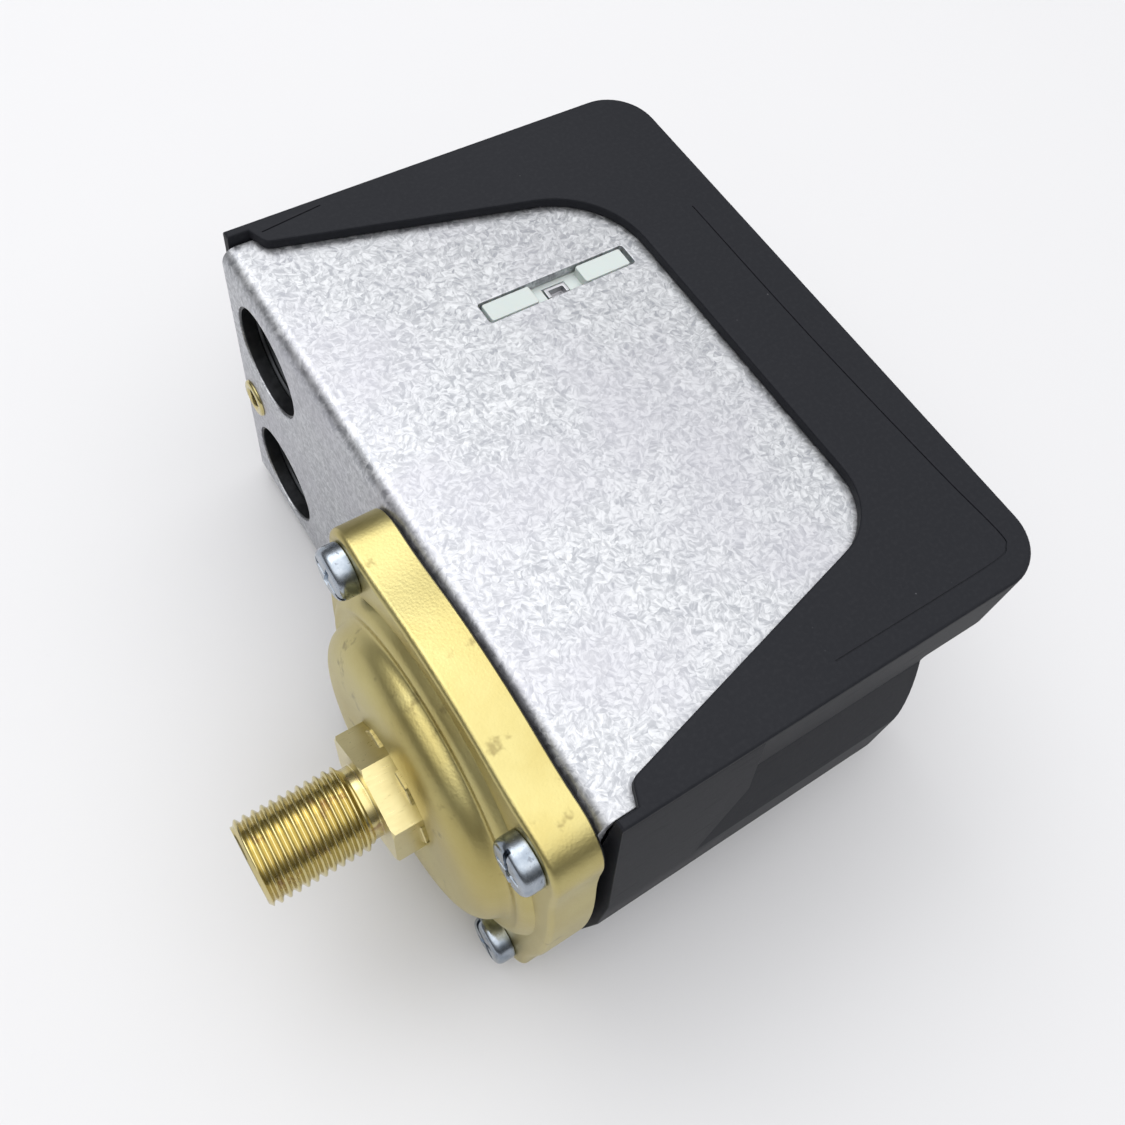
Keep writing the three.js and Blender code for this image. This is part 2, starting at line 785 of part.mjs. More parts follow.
function makeContactBase() {
  const low = coverWall + slideGap + steel + baseGap;
  const high = bodyWidth - low;
  let shape = block(baseLow, baseHigh, baseFront, baseBack, low, high);
  shape = shape.add(block(baseLow, baseTop, baseFront, baseBack, low, low + cheekThick));
  shape = shape.add(block(baseLow, baseTop, baseFront, baseBack, high - cheekThick, high));
  const edge = slotWidth / 2 - padSideGap;
  const padTop = high + baseGap + padRise;
  const padStart = slotStart + padStartGap;
  const padEnd = slotStart + slotLength - padEndGap;
  const padFront = slotMidY - edge;
  const padBack = slotMidY + edge;
  shape = shape.add(block(padStart, padStart + padLength, padFront, padBack, high - over, padTop));
  shape = shape.add(block(padEnd - padLength, padEnd, padFront, padBack, high - over, padTop));
  const clip = (padStart + padEnd) / 2;
  shape = shape.subtract(block(clip - clipHalf - clipGap, clip + clipHalf + clipGap, slotMidY - clipPocket,
    slotMidY + clipPocket, high - clipSink, high + over));
  const stem = stemWidth / 2 + stemGap;
  const stemSide = stemThick / 2 + stemGap;
  shape = shape.subtract(block(baseLow - over, baseHigh + over, contactY - stemSide, contactY + stemSide,
    midZ - stem, midZ + stem));
  for (let index = 0; index < 2 * poleCount; index += 1) {
    shape = shape.subtract(rod("x", terminalShank + snug, baseHigh - terminalHole, baseHigh + over, terminalY,
      stripZ(index), 16));
  }
  return shape;
}

// Small bent clip set in the middle of the side of the contact base.
function makeContactClip() {
  const high = bodyWidth - coverWall - slideGap - steel - baseGap;
  const floor = high - clipSink + snug;
  const middle = slotStart + (slotLength - padEndGap + padStartGap) / 2;
  const outer = block(middle - clipHalf, middle + clipHalf, slotMidY - clipSide, slotMidY + clipSide, floor,
    high + baseGap);
  const inside = clipHalf - clipWall;
  return outer.subtract(block(middle - inside, middle + inside, slotMidY - clipSide - over,
    slotMidY + clipLedge, floor + clipFloor, high + over));
}

function makeTerminal(index) {
  const z = stripZ(index);
  const half = stripWidth / 2;
  const front = bridgeY - bridgeWidth / 2 + buttonInset;
  let shape = block(baseHigh, baseHigh + stripThick, front, stripEnd, z - half, z + half);
  shape = shape.add(rod("x", buttonRadius, baseHigh, baseHigh + stripThick + buttonRise, bridgeY, z, 14));
  const top = baseHigh + stripThick;
  return shape.subtract(rod("x", terminalShank + lap, baseHigh - over, top + over, terminalY, z, 16));
}

function makeTerminalScrew(index) {
  const z = stripZ(index);
  const seat = baseHigh + stripThick;
  const top = seat + terminalRise;
  const profile = [
    [0, baseHigh - terminalReach], [terminalShank, baseHigh - terminalReach], [terminalShank, seat],
    [terminalHead, seat], [terminalHead, top - terminalChamfer], [terminalHead - terminalChamfer, top],
    [0, top],
  ];
  const shape = turned(profile, "x", [0, terminalY, z], 14);
  return shape.subtract(block(top - terminalSlotDepth, top + over, terminalY - terminalSlotWidth / 2,
    terminalY + terminalSlotWidth / 2, z - terminalHead - over, z + terminalHead + over));
}

const bridgeLow = baseHigh + stripThick + buttonRise + bridgeRest;

// Moving bar that joins one pole's two fixed contacts.
function makeBridge(pole) {
  const z = (stripZ(2 * pole) + stripZ(2 * pole + 1)) / 2;
  const half = stripPitch / 2 + bridgeReach;
  return block(bridgeLow, bridgeLow + bridgeThick, bridgeY - bridgeWidth / 2, bridgeY + bridgeWidth / 2,
    z - half, z + half);
}

// Sliding carrier: a stem through the base up to a crossbar that holds the moving bars.
function makeCarrier() {
  const foot = plungerEnd + contactGap + leverThick + contactGap;
  const low = bridgeLow + bridgeThick;
  const high = low + carrierThick;
  const reach = stripPitch * poleCount - stemGap;
  const stem = stemWidth / 2;
  const front = contactY - stemThick / 2;
  const shape = block(foot, high, front, contactY + stemThick / 2, midZ - stem, midZ + stem);
  return shape.add(block(low, high, front, contactY + carrierWidth, midZ - reach,
    midZ + reach));
}

function makeConduitRing(side) {
  const z = midZ + side * conduitOffset;
  const inner = conduitRadius - ringLip;
  const end = steel + ringDepth;
  const profile = [
    [inner + ringChamfer, steel], [ringOuter, steel], [ringOuter, end], [inner, end],
    [inner, steel + ringChamfer], [inner + ringChamfer, steel],
  ];
  return turned(profile, "x", [0, conduitY, z], 40);
}

function makeEarthNut() {
  const profile = [
    [earthBore, -earthProud], [earthFlange - earthProud / 2, -earthProud], [earthFlange, -earthProud / 2],
    [earthFlange, 0], [earthSleeve, 0], [earthSleeve, earthLength], [earthBore, earthLength],
    [earthBore, -earthProud],
  ];
  return turned(profile, "x", [0, earthY, earthZ], 24);
}

function makeEarthScrew() {
  const top = earthLength + earthHead;
  const shank = earthBore - lap;
  const profile = [
    [0, earthTip], [shank, earthTip], [shank, earthLength], [earthFlange, earthLength],
    [earthFlange, top - terminalChamfer], [earthFlange - terminalChamfer, top], [0, top],
  ];
  const shape = turned(profile, "x", [0, earthY, earthZ], 24);
  return shape.subtract(crossRecess("x", top + lap, -recessDepth, crossLength, earthY, earthZ));
}

const galvanised = { color: 0xc4c6ca, roughness: 0.45, metalness: 0.9 };
const charcoal = { color: 0x34363b, roughness: 0.6, metalness: 0 };
const brass = { color: 0xc9a94f, roughness: 0.38, metalness: 1 };
const zinc = { color: 0xb4bac0, roughness: 0.3, metalness: 1 };
const rubber = { color: 0x18181a, roughness: 0.8, metalness: 0 };
const whitePlastic = { color: 0xe4e6e4, roughness: 0.5, metalness: 0 };
const springSteel = { color: 0x8a8d92, roughness: 0.35, metalness: 1 };
const copper = { color: 0xb87546, roughness: 0.35, metalness: 1 };
const plate = { color: 0xd8d8d4, roughness: 0.5, metalness: 0.2 };

const group = new THREE.Group();
group.name = "pressure_switch";
group.add(piece("chassis", makeChassis(), galvanised));
group.add(piece("cover", makeCover(), charcoal));
group.add(piece("cover_screw", makeCoverScrew(), zinc));
group.add(piece("diaphragm_housing", makeHousing(), brass));
screwSpots().forEach((spot, index) => {
  group.add(piece(`flange_screw_${index + 1}`, makeFlangeScrew(spot), zinc));
});
group.add(piece("diaphragm", makeDiaphragm(), rubber));
group.add(piece("thrust_plate", makeThrustPlate(), zinc));
group.add(piece("pivot_bracket", makePivotBracket(), galvanised));
group.add(piece("pivot_pin", makePivotPin(), springSteel));
group.add(piece("main_lever", makeLever(), galvanised));
group.add(piece("range_spring", makeSpring(portY, rangeCoil, rangeWire, rangeTurns, springStart, rangeLength),
  springSteel));
group.add(piece("range_nut", makeNut(portY, rangeNutRadius, rangeNutThick, springStart + rangeLength,
  rangeScrewRadius, true), zinc));
group.add(piece("range_screw", makeAdjuster(portY, rangeScrewRadius, rangeHead, rangeHeadRise), zinc));
const diffStart = springStart + leverSwing;
const diffSpring = makeSpring(diffY, diffCoil, diffWire, diffTurns, diffStart, diffLength);
group.add(piece("differential_spring", diffSpring, springSteel));
group.add(piece("differential_nut", makeNut(diffY, diffNutRadius, diffNutThick, diffStart + diffLength,
  diffScrewRadius, false), zinc));
group.add(piece("differential_screw", makeAdjuster(diffY, diffScrewRadius, diffHead, diffHeadRise), zinc));
group.add(piece("spring_yoke", makeYoke(), galvanised));
group.add(piece("scale_plate", makeScalePlate(), plate));
group.add(piece("contact_base", makeContactBase(), whitePlastic));
group.add(piece("contact_clip", makeContactClip(), springSteel));
group.add(piece("contact_carrier", makeCarrier(), whitePlastic));
for (let pole = 0; pole < poleCount; pole += 1) {
  group.add(piece(`contact_bridge_${pole + 1}`, makeBridge(pole), copper));
}
for (let index = 0; index < 2 * poleCount; index += 1) {
  group.add(piece(`terminal_${index + 1}`, makeTerminal(index), copper));
  group.add(piece(`terminal_screw_${index + 1}`, makeTerminalScrew(index), zinc));
}
group.add(piece("conduit_ring_1", makeConduitRing(1), zinc));
group.add(piece("conduit_ring_2", makeConduitRing(-1), zinc));
group.add(piece("earth_nut", makeEarthNut(), brass));
group.add(piece("earth_screw", makeEarthScrew(), zinc));

// The origin is the middle of the footprint, on the surface that the switch lies on.
const portEnd = -diaphragmThick - flangeThick - hexRise - neckLength - threadLength;
group.position.set(-(portEnd + coverTop) / 2, -(bodyDepth - hoodProud) / 2, 0);

export default group;
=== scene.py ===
import math
import bpy
import bmesh
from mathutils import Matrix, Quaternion, Vector


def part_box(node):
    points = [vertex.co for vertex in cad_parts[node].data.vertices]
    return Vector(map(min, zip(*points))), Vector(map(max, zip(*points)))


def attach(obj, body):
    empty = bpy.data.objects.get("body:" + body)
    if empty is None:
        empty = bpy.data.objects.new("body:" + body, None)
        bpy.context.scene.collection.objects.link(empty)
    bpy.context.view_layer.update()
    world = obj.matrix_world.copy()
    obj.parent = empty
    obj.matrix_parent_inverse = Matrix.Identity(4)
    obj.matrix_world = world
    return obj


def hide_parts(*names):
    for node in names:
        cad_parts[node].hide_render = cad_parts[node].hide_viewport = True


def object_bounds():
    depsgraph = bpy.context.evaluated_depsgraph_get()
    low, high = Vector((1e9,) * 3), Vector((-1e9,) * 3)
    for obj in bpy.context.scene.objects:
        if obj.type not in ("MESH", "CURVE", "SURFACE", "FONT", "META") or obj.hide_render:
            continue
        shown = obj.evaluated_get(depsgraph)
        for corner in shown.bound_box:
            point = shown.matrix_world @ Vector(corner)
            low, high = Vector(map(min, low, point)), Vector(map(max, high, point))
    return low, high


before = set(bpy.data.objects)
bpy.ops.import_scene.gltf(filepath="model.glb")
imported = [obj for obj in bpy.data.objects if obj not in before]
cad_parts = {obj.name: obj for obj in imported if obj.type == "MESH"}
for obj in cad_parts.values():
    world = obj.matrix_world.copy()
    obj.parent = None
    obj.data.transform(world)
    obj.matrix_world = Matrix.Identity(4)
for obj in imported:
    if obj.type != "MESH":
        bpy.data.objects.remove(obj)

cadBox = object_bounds()
mm = 0.001
tau = 2 * math.pi

# Millimetres here count from the steel end face, the front rim of the cover and the side it lies on.
body = {"width": 62, "depth": 106, "top": 75.8, "wall": 1.6, "mouth": 1.6}
midZ = body["width"] / 2
origin = Vector((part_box("chassis")[0].x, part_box("cover")[1].y - body["depth"] * mm, 0))


def place(point):
    return Vector(point) * mm + origin


def makePiece(name, points, faces):
    mesh = bpy.data.meshes.new(name)
    mesh.from_pydata([place(p) for p in points], [], faces)
    thing = bpy.data.objects.new(name, mesh)
    bpy.context.scene.collection.objects.link(thing)
    tidy(thing)
    return thing


def tidy(thing, gap=1e-6):
    work = bmesh.new()
    work.from_mesh(thing.data)
    bmesh.ops.remove_doubles(work, verts=work.verts, dist=gap)
    bmesh.ops.dissolve_degenerate(work, edges=work.edges, dist=gap)
    bmesh.ops.recalc_face_normals(work, faces=work.faces)
    work.to_mesh(thing.data)
    work.free()


def settle(thing):
    shaped = thing.evaluated_get(bpy.context.evaluated_depsgraph_get())
    mesh = bpy.data.meshes.new_from_object(shaped)
    thing.modifiers.clear()
    thing.data = mesh


def combine(thing, kind, tools):
    for tool in tools:
        change = thing.modifiers.new("combine", "BOOLEAN")
        change.operation = kind
        change.solver = "EXACT"
        change.object = tool
        settle(thing)
        bpy.data.objects.remove(tool)
    tidy(thing, 2e-6)
    return thing


def cut(thing, *tools):
    return combine(thing, "DIFFERENCE", tools)


def add(thing, *tools):
    return combine(thing, "UNION", tools)


def chamfer(thing, width, steps=2, angle=35):
    change = thing.modifiers.new("edge", "BEVEL")
    change.width = width * mm
    change.segments = steps
    change.limit_method = "ANGLE"
    change.angle_limit = math.radians(angle)
    change.harden_normals = False
    settle(thing)
    return thing


def smooth(thing, angle=32):
    for face in thing.data.polygons:
        face.use_smooth = True
    thing.data.set_sharp_from_angle(angle=math.radians(angle))
    change = thing.modifiers.new("normals", "WEIGHTED_NORMAL")
    change.keep_sharp = True
    change.weight = 100
    settle(thing)
    return thing


# Corners are [u, v, radius]; each radius becomes an arc.
def roundOff(corners, steps=8):
    made = []
    for index, (u, v, radius) in enumerate(corners):
        here = Vector((u, v))
        if not radius:
            made.append((u, v))
            continue
        back = (Vector(corners[index - 1][:2]) - here).normalized()
        ahead = (Vector(corners[(index + 1) % len(corners)][:2]) - here).normalized()
        half = back.angle(ahead) / 2
        middle = here + (back + ahead).normalized() * radius / math.sin(half)
        start = here + back * radius / math.tan(half) - middle
        turn = start.angle_signed(here + ahead * radius / math.tan(half) - middle)
        for step in range(steps + 1):
            angle = -turn * step / steps
            made.append((middle.x + start.x * math.cos(angle) - start.y * math.sin(angle),
                         middle.y + start.x * math.sin(angle) + start.y * math.cos(angle)))
    return made


# Moves every side of a closed outline inwards, or outwards for a negative inset.
def shrink(points, inset):
    area = sum(points[i - 1][0] * points[i][1] - points[i][0] * points[i - 1][1] for i in range(len(points)))
    way = 1 if area > 0 else -1
    made = []
    for index, (u, v) in enumerate(points):
        before = Vector((u, v)) - Vector(points[index - 1])
        after = Vector(points[(index + 1) % len(points)]) - Vector((u, v))
        before.normalize()
        after.normalize()
        along = (before + after).normalized()
        reach = inset / max(0.3, before.dot(along))
        made.append((u - way * along.y * reach, v + way * along.x * reach))
    return made


def onAxis(axis, along, u, v):
    return {"x": (along, u, v), "y": (u, along, v), "z": (u, v, along)}[axis]


# Stacks copies of an outline along an axis; levels are [height, inset].
def stack(name, axis, outline, levels):
    points = []
    for height, inset in levels:
        points += [onAxis(axis, height, u, v) for u, v in (shrink(outline, inset) if inset else outline)]
    count = len(outline)
    faces = [list(range(count)), list(range((len(levels) - 1) * count, len(levels) * count))]
    for level in range(len(levels) - 1):
        for index in range(count):
            after = (index + 1) % count
            low = level * count
            faces.append([low + index, low + after, low + count + after, low + count + index])
    return makePiece(name, points, faces)


def edged(low, high, edge, steps=3):
    curve = [(edge * (1 - math.sin(i * tau / 4 / steps)), edge * (1 - math.cos(i * tau / 4 / steps)))
             for i in range(steps + 1)]
    start = [(low + drop, inset) for inset, drop in curve]
    return start + [(high - drop, inset) for inset, drop in reversed(curve)]


def slab(name, axis, outline, low, high, edge=0.0):
    return stack(name, axis, outline, edged(low, high, edge) if edge else [(low, 0), (high, 0)])


def brick(name, x, y, z, edge=0.0):
    outline = [(x[0], y[0]), (x[1], y[0]), (x[1], y[1]), (x[0], y[1])]
    thing = slab(name, "z", outline, z[0], z[1])
    return chamfer(thing, edge) if edge else thing


# A profile of (radius, height) turned about an axis; closed where it meets the axis.
def turn(name, axis, centre, profile, count=64):
    points = []
    rows = []
    for radius, height in profile:
        if radius < 1e-6:
            rows.append([len(points)])
            points.append(onAxis(axis, height, *centre))
            continue
        rows.append(list(range(len(points), len(points) + count)))
        for step in range(count):
            angle = tau * step / count
            points.append(onAxis(axis, height, centre[0] + radius * math.cos(angle),
                                 centre[1] + radius * math.sin(angle)))
    faces = []
    closed = profile[0][0] > 1e-6 and profile[-1][0] > 1e-6
    pairs = list(zip(rows, rows[1:])) + ([(rows[-1], rows[0])] if closed else [])
    for near, far in pairs:
        for step in range(count):
            after = (step + 1) % count
            if len(near) == 1 and len(far) > 1:
                faces.append([near[0], far[step], far[after]])
            elif len(far) == 1 and len(near) > 1:
                faces.append([near[step], near[after], far[0]])
            elif len(near) > 1:
                faces.append([near[step], near[after], far[after], far[step]])
    return makePiece(name, points, faces)


def peg(name, axis, centre, radius, low, high, count=40, edge=0.0):
    if not edge:
        return turn(name, axis, centre, [(0, low), (radius, low), (radius, high), (0, high)], count)
    profile = [(0, low), (radius - edge, low), (radius, low + edge), (radius, high - edge),
               (radius - edge, high), (0, high)]
    return turn(name, axis, centre, profile, count)


# A smooth curve through the given points.
def flow(points, steps=6):
    ends = [points[0]] + list(points) + [points[-1]]
    made = []
    for index in range(1, len(ends) - 2):
        a, b, c, d = (Vector(p) for p in ends[index - 1:index + 3])
        for step in range(steps):
            t = step / steps
            made.append(tuple((2 * b + (c - a) * t + (2 * a - 5 * b + 4 * c - d) * t * t
                               + (3 * b - a - 3 * c + d) * t ** 3) / 2))
    return made + [tuple(points[-1])]


# Round wire along a path, with flat ends.
def wire(name, path, radius, sides=12):
    points = []
    count = len(path)
    for index, spot in enumerate(path):
        here = Vector(spot)
        ahead = (Vector(path[min(index + 1, count - 1)]) - Vector(path[max(index - 1, 0)])).normalized()
        across = ahead.cross(Vector((1, 0, 0)))
        across = across.normalized() if across.length > 1e-3 else Vector((0, 1, 0))
        other = ahead.cross(across)
        for side in range(sides):
            angle = tau * side / sides
            points.append(here + across * radius * math.cos(angle) + other * radius * math.sin(angle))
    faces = [list(range(sides)), list(range((count - 1) * sides, count * sides))]
    for index in range(count - 1):
        for side in range(sides):
            after = (side + 1) % sides
            low = index * sides
            faces.append([low + side, low + after, low + sides + after, low + sides + side])
    return makePiece(name, points, faces)


class Signal:
    def __init__(self, recipe, socket):
        self.recipe = recipe
        self.socket = socket

    def maths(self, kind, first, second):
        return self.recipe.node("ShaderNodeMath", {"operation": kind}, {0: first, 1: second})

    def __add__(self, other):
        return self.maths("ADD", self, other)

    def __radd__(self, other):
        return self.maths("ADD", other, self)

    def __sub__(self, other):
        return self.maths("SUBTRACT", self, other)

    def __rsub__(self, other):
        return self.maths("SUBTRACT", other, self)

    def __mul__(self, other):
        return self.maths("MULTIPLY", self, other)

    def __rmul__(self, other):
        return self.maths("MULTIPLY", other, self)


class Recipe:
    def __init__(self, holder, coordinates="Object"):
        holder.use_nodes = True
        self.tree = holder.node_tree
        self.tree.nodes.clear()
        self.spot = self.node("ShaderNodeTexCoord", {}, {}, coordinates)

    def socket(self, sockets, key):
        if isinstance(key, int):
            return sockets[key]
        return next(s for s in sockets if s.identifier == key or s.name == key)

    def node(self, kind, settings, sockets, out=0):
        made = self.tree.nodes.new(kind)
        for key, value in settings.items():
            if key == "stops":
                self.stops(made.color_ramp, value)
            else:
                setattr(made, key, value)
        for key, value in sockets.items():
            self.feed(self.socket(made.inputs, key), value)
        return Signal(self, self.socket(made.outputs, out)) if made.outputs else None

    def stops(self, ramp, stops):
        while len(ramp.elements) < len(stops):
            ramp.elements.new(1)
        for element, (at, colour) in zip(ramp.elements, stops):
            element.position = at
            element.color = (*colour, 1) if isinstance(colour, tuple) else (colour, colour, colour, 1)

    def feed(self, socket, value):
        if isinstance(value, Signal):
            self.tree.links.new(value.socket, socket)
        elif isinstance(value, tuple) and len(value) == 3 and socket.type == "RGBA":
            socket.default_value = (*value, 1)
        else:
            socket.default_value = value

    def noise(self, scale, detail=3, rough=0.5, spot=None, out="Fac"):
        return self.node("ShaderNodeTexNoise", {"noise_dimensions": "3D"},
                         {"Vector": spot or self.spot, "Scale": scale, "Detail": detail, "Roughness": rough,
                          "Distortion": 0.0}, out)

    def cells(self, scale, spot=None, out="Distance"):
        return self.node("ShaderNodeTexVoronoi", {"feature": "F1"},
                         {"Vector": spot or self.spot, "Scale": scale, "Randomness": 1.0}, out)

    def stretch(self, scale, spot=None):
        return self.node("ShaderNodeVectorMath", {"operation": "MULTIPLY"}, {0: spot or self.spot, 1: scale})

    def shift(self, spot, amount):
        return self.node("ShaderNodeVectorMath", {"operation": "ADD"}, {0: spot, 1: amount})

    def ramp(self, value, *stops):
        return self.node("ShaderNodeValToRGB", {"stops": stops}, {"Fac": value})

    def fade(self, value, low, high, first=0.0, last=1.0):
        return self.node("ShaderNodeMapRange", {"clamp": True, "interpolation_type": "SMOOTHSTEP"},
                         {"Value": value, "From Min": low, "From Max": high, "To Min": first, "To Max": last})

    def blend(self, amount, first, second):
        return self.node("ShaderNodeMix", {"data_type": "RGBA", "blend_type": "MIX"},
                         {"Factor_Float": amount, "A_Color": first, "B_Color": second}, "Result_Color")

    def axis(self, name):
        return self.node("ShaderNodeSeparateXYZ", {}, {0: self.spot}, name)

    def bump(self, height, strength, distance):
        return self.node("ShaderNodeBump", {},
                         {"Height": height, "Strength": strength, "Distance": distance * mm})


class Finish(Recipe):
    def __init__(self, name, **fixed):
        self.material = bpy.data.materials.new(name)
        super().__init__(self.material)
        self.fixed = fixed

    def done(self, **varying):
        sockets = {key.replace("_", " "): value for key, value in {**self.fixed, **varying}.items()}
        shader = self.node("ShaderNodeBsdfPrincipled", {}, sockets)
        self.node("ShaderNodeOutputMaterial", {}, {"Surface": shader}, None)
        return self.material


galvanised = {"light": (0.655, 0.665, 0.685), "dull": (0.295, 0.305, 0.33), "lilac": (0.46, 0.45, 0.50),
              "grain": 880, "rough": 0.34}


def makeGalvanised():
    r = Finish("galvanisedSteel", Metallic=0.92)
    wobble = r.noise(420, 2, out="Color")
    bent = r.shift(r.spot, r.stretch((0.0013, 0.0013, 0.0013), wobble))
    grain = r.cells(galvanised["grain"], bent, out="Color")
    tone = r.node("ShaderNodeSeparateColor", {}, {0: grain}, "Red")
    lean = r.node("ShaderNodeSeparateColor", {}, {0: grain}, "Green")
    turned = r.node("ShaderNodeVectorRotate", {"rotation_type": "Z_AXIS"},
                    {"Vector": bent, "Angle": lean * 6.28})
    feather = r.noise(1.0, 4, 0.62, r.stretch((1700, 520, 800), turned))
    small = r.noise(3600, 3, 0.6)
    cloud = r.noise(38, 3)
    light = tone * 0.34 + r.fade(feather, 0.36, 0.64) * 0.66
    colour = r.blend(light, galvanised["dull"], galvanised["light"])
    colour = r.blend(r.fade(cloud, 0.42, 0.66) * 0.4, colour, galvanised["lilac"])
    speck = r.fade(r.noise(950, 2), 0.70, 0.76) * 0.4
    colour = r.blend(speck, colour, (0.42, 0.42, 0.45))
    rough = galvanised["rough"] + tone * 0.13 + (feather - 0.5) * 0.16 + cloud * 0.06
    height = tone * 0.35 + feather * 0.5 + small * 0.25
    return r.done(Base_Color=colour, Roughness=rough, Normal=r.bump(height, 0.34, 0.10))


plastic = {"body": (0.010, 0.011, 0.015), "worn": (0.030, 0.031, 0.036)}


def makePlastic():
    r = Finish("charcoalPlastic", IOR=1.5, Specular_IOR_Level=0.16)
    spark = r.noise(5200, 3, 0.65)
    fine = r.noise(1500, 2)
    cloud = r.noise(26, 3)
    streak = r.noise(1.0, 3, 0.6, r.stretch((160, 2200, 1400)))
    colour = r.blend(cloud * 0.35 + r.fade(fine, 0.4, 0.8) * 0.18, plastic["body"], plastic["worn"])
    dust = r.fade(r.cells(330), 0.02, 0.05, 1.0, 0.0) * r.fade(r.noise(60, 2), 0.55, 0.7)
    colour = r.blend(dust * 0.35, colour, (0.28, 0.28, 0.30))
    rough = 0.50 + cloud * 0.08 + spark * 0.10 + r.fade(streak, 0.55, 0.75) * 0.05
    return r.done(Base_Color=colour, Roughness=rough, Normal=r.bump(spark * 0.7 + fine * 0.4, 0.28, 0.04))


# the cut brass tarnish colour also serves as painted shade on the lower side of the thread
brass = {"cast": (0.44, 0.36, 0.13), "pale": (0.56, 0.50, 0.23), "dark": (0.15, 0.11, 0.045),
         "cut": (0.60, 0.51, 0.25), "bright": (0.74, 0.66, 0.36), "tarnishAndPaintedShade": (0.24, 0.12, 0.085)}


def makeCastBrass():
    r = Finish("castBrass", Metallic=1.0)
    blast = r.noise(3400, 4, 0.65)
    pits = r.cells(2300)
    cloud = r.noise(55, 4, 0.6)
    colour = r.blend(r.fade(cloud, 0.3, 0.7) * 0.6 + blast * 0.3, brass["cast"], brass["pale"])
    stain = r.fade(r.noise(160, 4, 0.7), 0.60, 0.72) * 0.55
    colour = r.blend(stain, colour, brass["dark"])
    rough = 0.27 + blast * 0.14 + cloud * 0.06
    return r.done(Base_Color=colour, Roughness=rough, Normal=r.bump(blast * 0.7 + pits * 0.5, 0.45, 0.06))


def makeCutBrass():
    r = Finish("cutBrass", Metallic=1.0)
    rings = r.noise(1.0, 3, 0.6, r.stretch((9000, 260, 260)))
    cloud = r.noise(140, 3, 0.6)
    colour = r.blend(r.fade(cloud, 0.35, 0.75) * 0.6, brass["cut"], brass["pale"])
    # painted shade: low darkens the lower side of the cut brass (below about 29 mm up) towards the tarnish
    # colour, standing in for the dark reflection band under the thread; the noise part of stain is real tarnish
    low = r.fade(r.axis("Z"), 0.024, 0.029, 1.0, 0.0)
    stain = r.fade(r.noise(230, 4, 0.7) + low * 0.12, 0.58, 0.72) * 0.65
    colour = r.blend(stain, colour, brass["tarnishAndPaintedShade"])
    rough = 0.17 + rings * 0.12 + stain * 0.2
    return r.done(Base_Color=colour, Roughness=rough, Normal=r.bump(rings, 0.22, 0.02))


def makeMilledBrass():
    r = Finish("milledBrass", Metallic=1.0)
    marks = r.noise(1.0, 4, 0.65, r.stretch((420, 2600, 2600)))
    chatter = r.noise(1.0, 2, 0.6, r.stretch((900, 1700, 1700)))
    cloud = r.noise(160, 3)
    colour = r.blend(r.fade(cloud, 0.3, 0.7) * 0.5 + marks * 0.3, brass["bright"], brass["cut"])
    colour = r.blend(r.fade(marks, 0.62, 0.75) * 0.3, colour, brass["dark"])
    rough = 0.22 + marks * 0.16
    return r.done(Base_Color=colour, Roughness=rough, Normal=r.bump(marks * 0.8 + chatter * 0.5, 0.35, 0.05))


def makeZinc():
    r = Finish("zincPlating", Metallic=1.0)
    cloud = r.noise(420, 3, 0.6)
    fine = r.noise(4200, 2)
    colour = r.blend(r.fade(cloud, 0.3, 0.7) * 0.7, (0.24, 0.28, 0.33), (0.46, 0.50, 0.55))
    colour = r.blend(r.fade(r.noise(900, 3, 0.7), 0.58, 0.72) * 0.6, colour, (0.11, 0.125, 0.15))
    return r.done(Base_Color=colour, Roughness=0.16 + cloud * 0.12 + fine * 0.05,
                    Normal=r.bump(fine + cloud * 0.5, 0.12, 0.03))


def makeRubber():
    r = Finish("blackRubber", Specular_IOR_Level=0.3)
    fine = r.noise(2600, 3)
    colour = r.blend(r.noise(200, 2) * 0.6, (0.006, 0.006, 0.007), (0.02, 0.02, 0.021))
    return r.done(Base_Color=colour, Roughness=0.62 + fine * 0.2, Normal=r.bump(fine, 0.3, 0.04))


def makeWhitePlastic():
    r = Finish("whitePlastic", Specular_IOR_Level=0.45, Subsurface_Weight=0.08)
    fine = r.noise(1900, 3)
    cloud = r.noise(90, 3)
    colour = r.blend(cloud * 0.6, (0.54, 0.58, 0.56), (0.66, 0.69, 0.67))
    return r.done(Base_Color=colour, Roughness=0.38 + fine * 0.14, Normal=r.bump(fine, 0.15, 0.03))


def makeSpringSteel():
    r = Finish("springSteel", Metallic=1.0)
    drawn = r.noise(1.0, 3, 0.6, r.stretch((900, 900, 5200)))
    cloud = r.noise(130, 3)
    colour = r.blend(cloud, (0.36, 0.36, 0.38), (0.58, 0.58, 0.60))
    return r.done(Base_Color=colour, Roughness=0.26 + drawn * 0.2, Normal=r.bump(drawn, 0.2, 0.03))


def makeCopper():
    r = Finish("contactCopper", Metallic=1.0)
    rolled = r.noise(1.0, 3, 0.6, r.stretch((3600, 400, 3600)))
    cloud = r.noise(180, 4, 0.6)
    colour = r.blend(r.fade(cloud, 0.35, 0.7), (0.86, 0.50, 0.32), (0.66, 0.34, 0.20))
    return r.done(Base_Color=colour, Roughness=0.24 + rolled * 0.18, Normal=r.bump(rolled, 0.2, 0.03))


def makeEnamel():
    r = Finish("scaleEnamel", Coat_Roughness=0.2)
    peel = r.noise(900, 2)
    cloud = r.noise(60, 3)
    colour = r.blend(cloud * 0.7, (0.78, 0.78, 0.74), (0.88, 0.88, 0.85))
    return r.done(Base_Color=colour, Roughness=0.30 + peel * 0.1, Coat_Weight=0.3 + cloud * 0.1,
                    Normal=r.bump(peel, 0.12, 0.03))


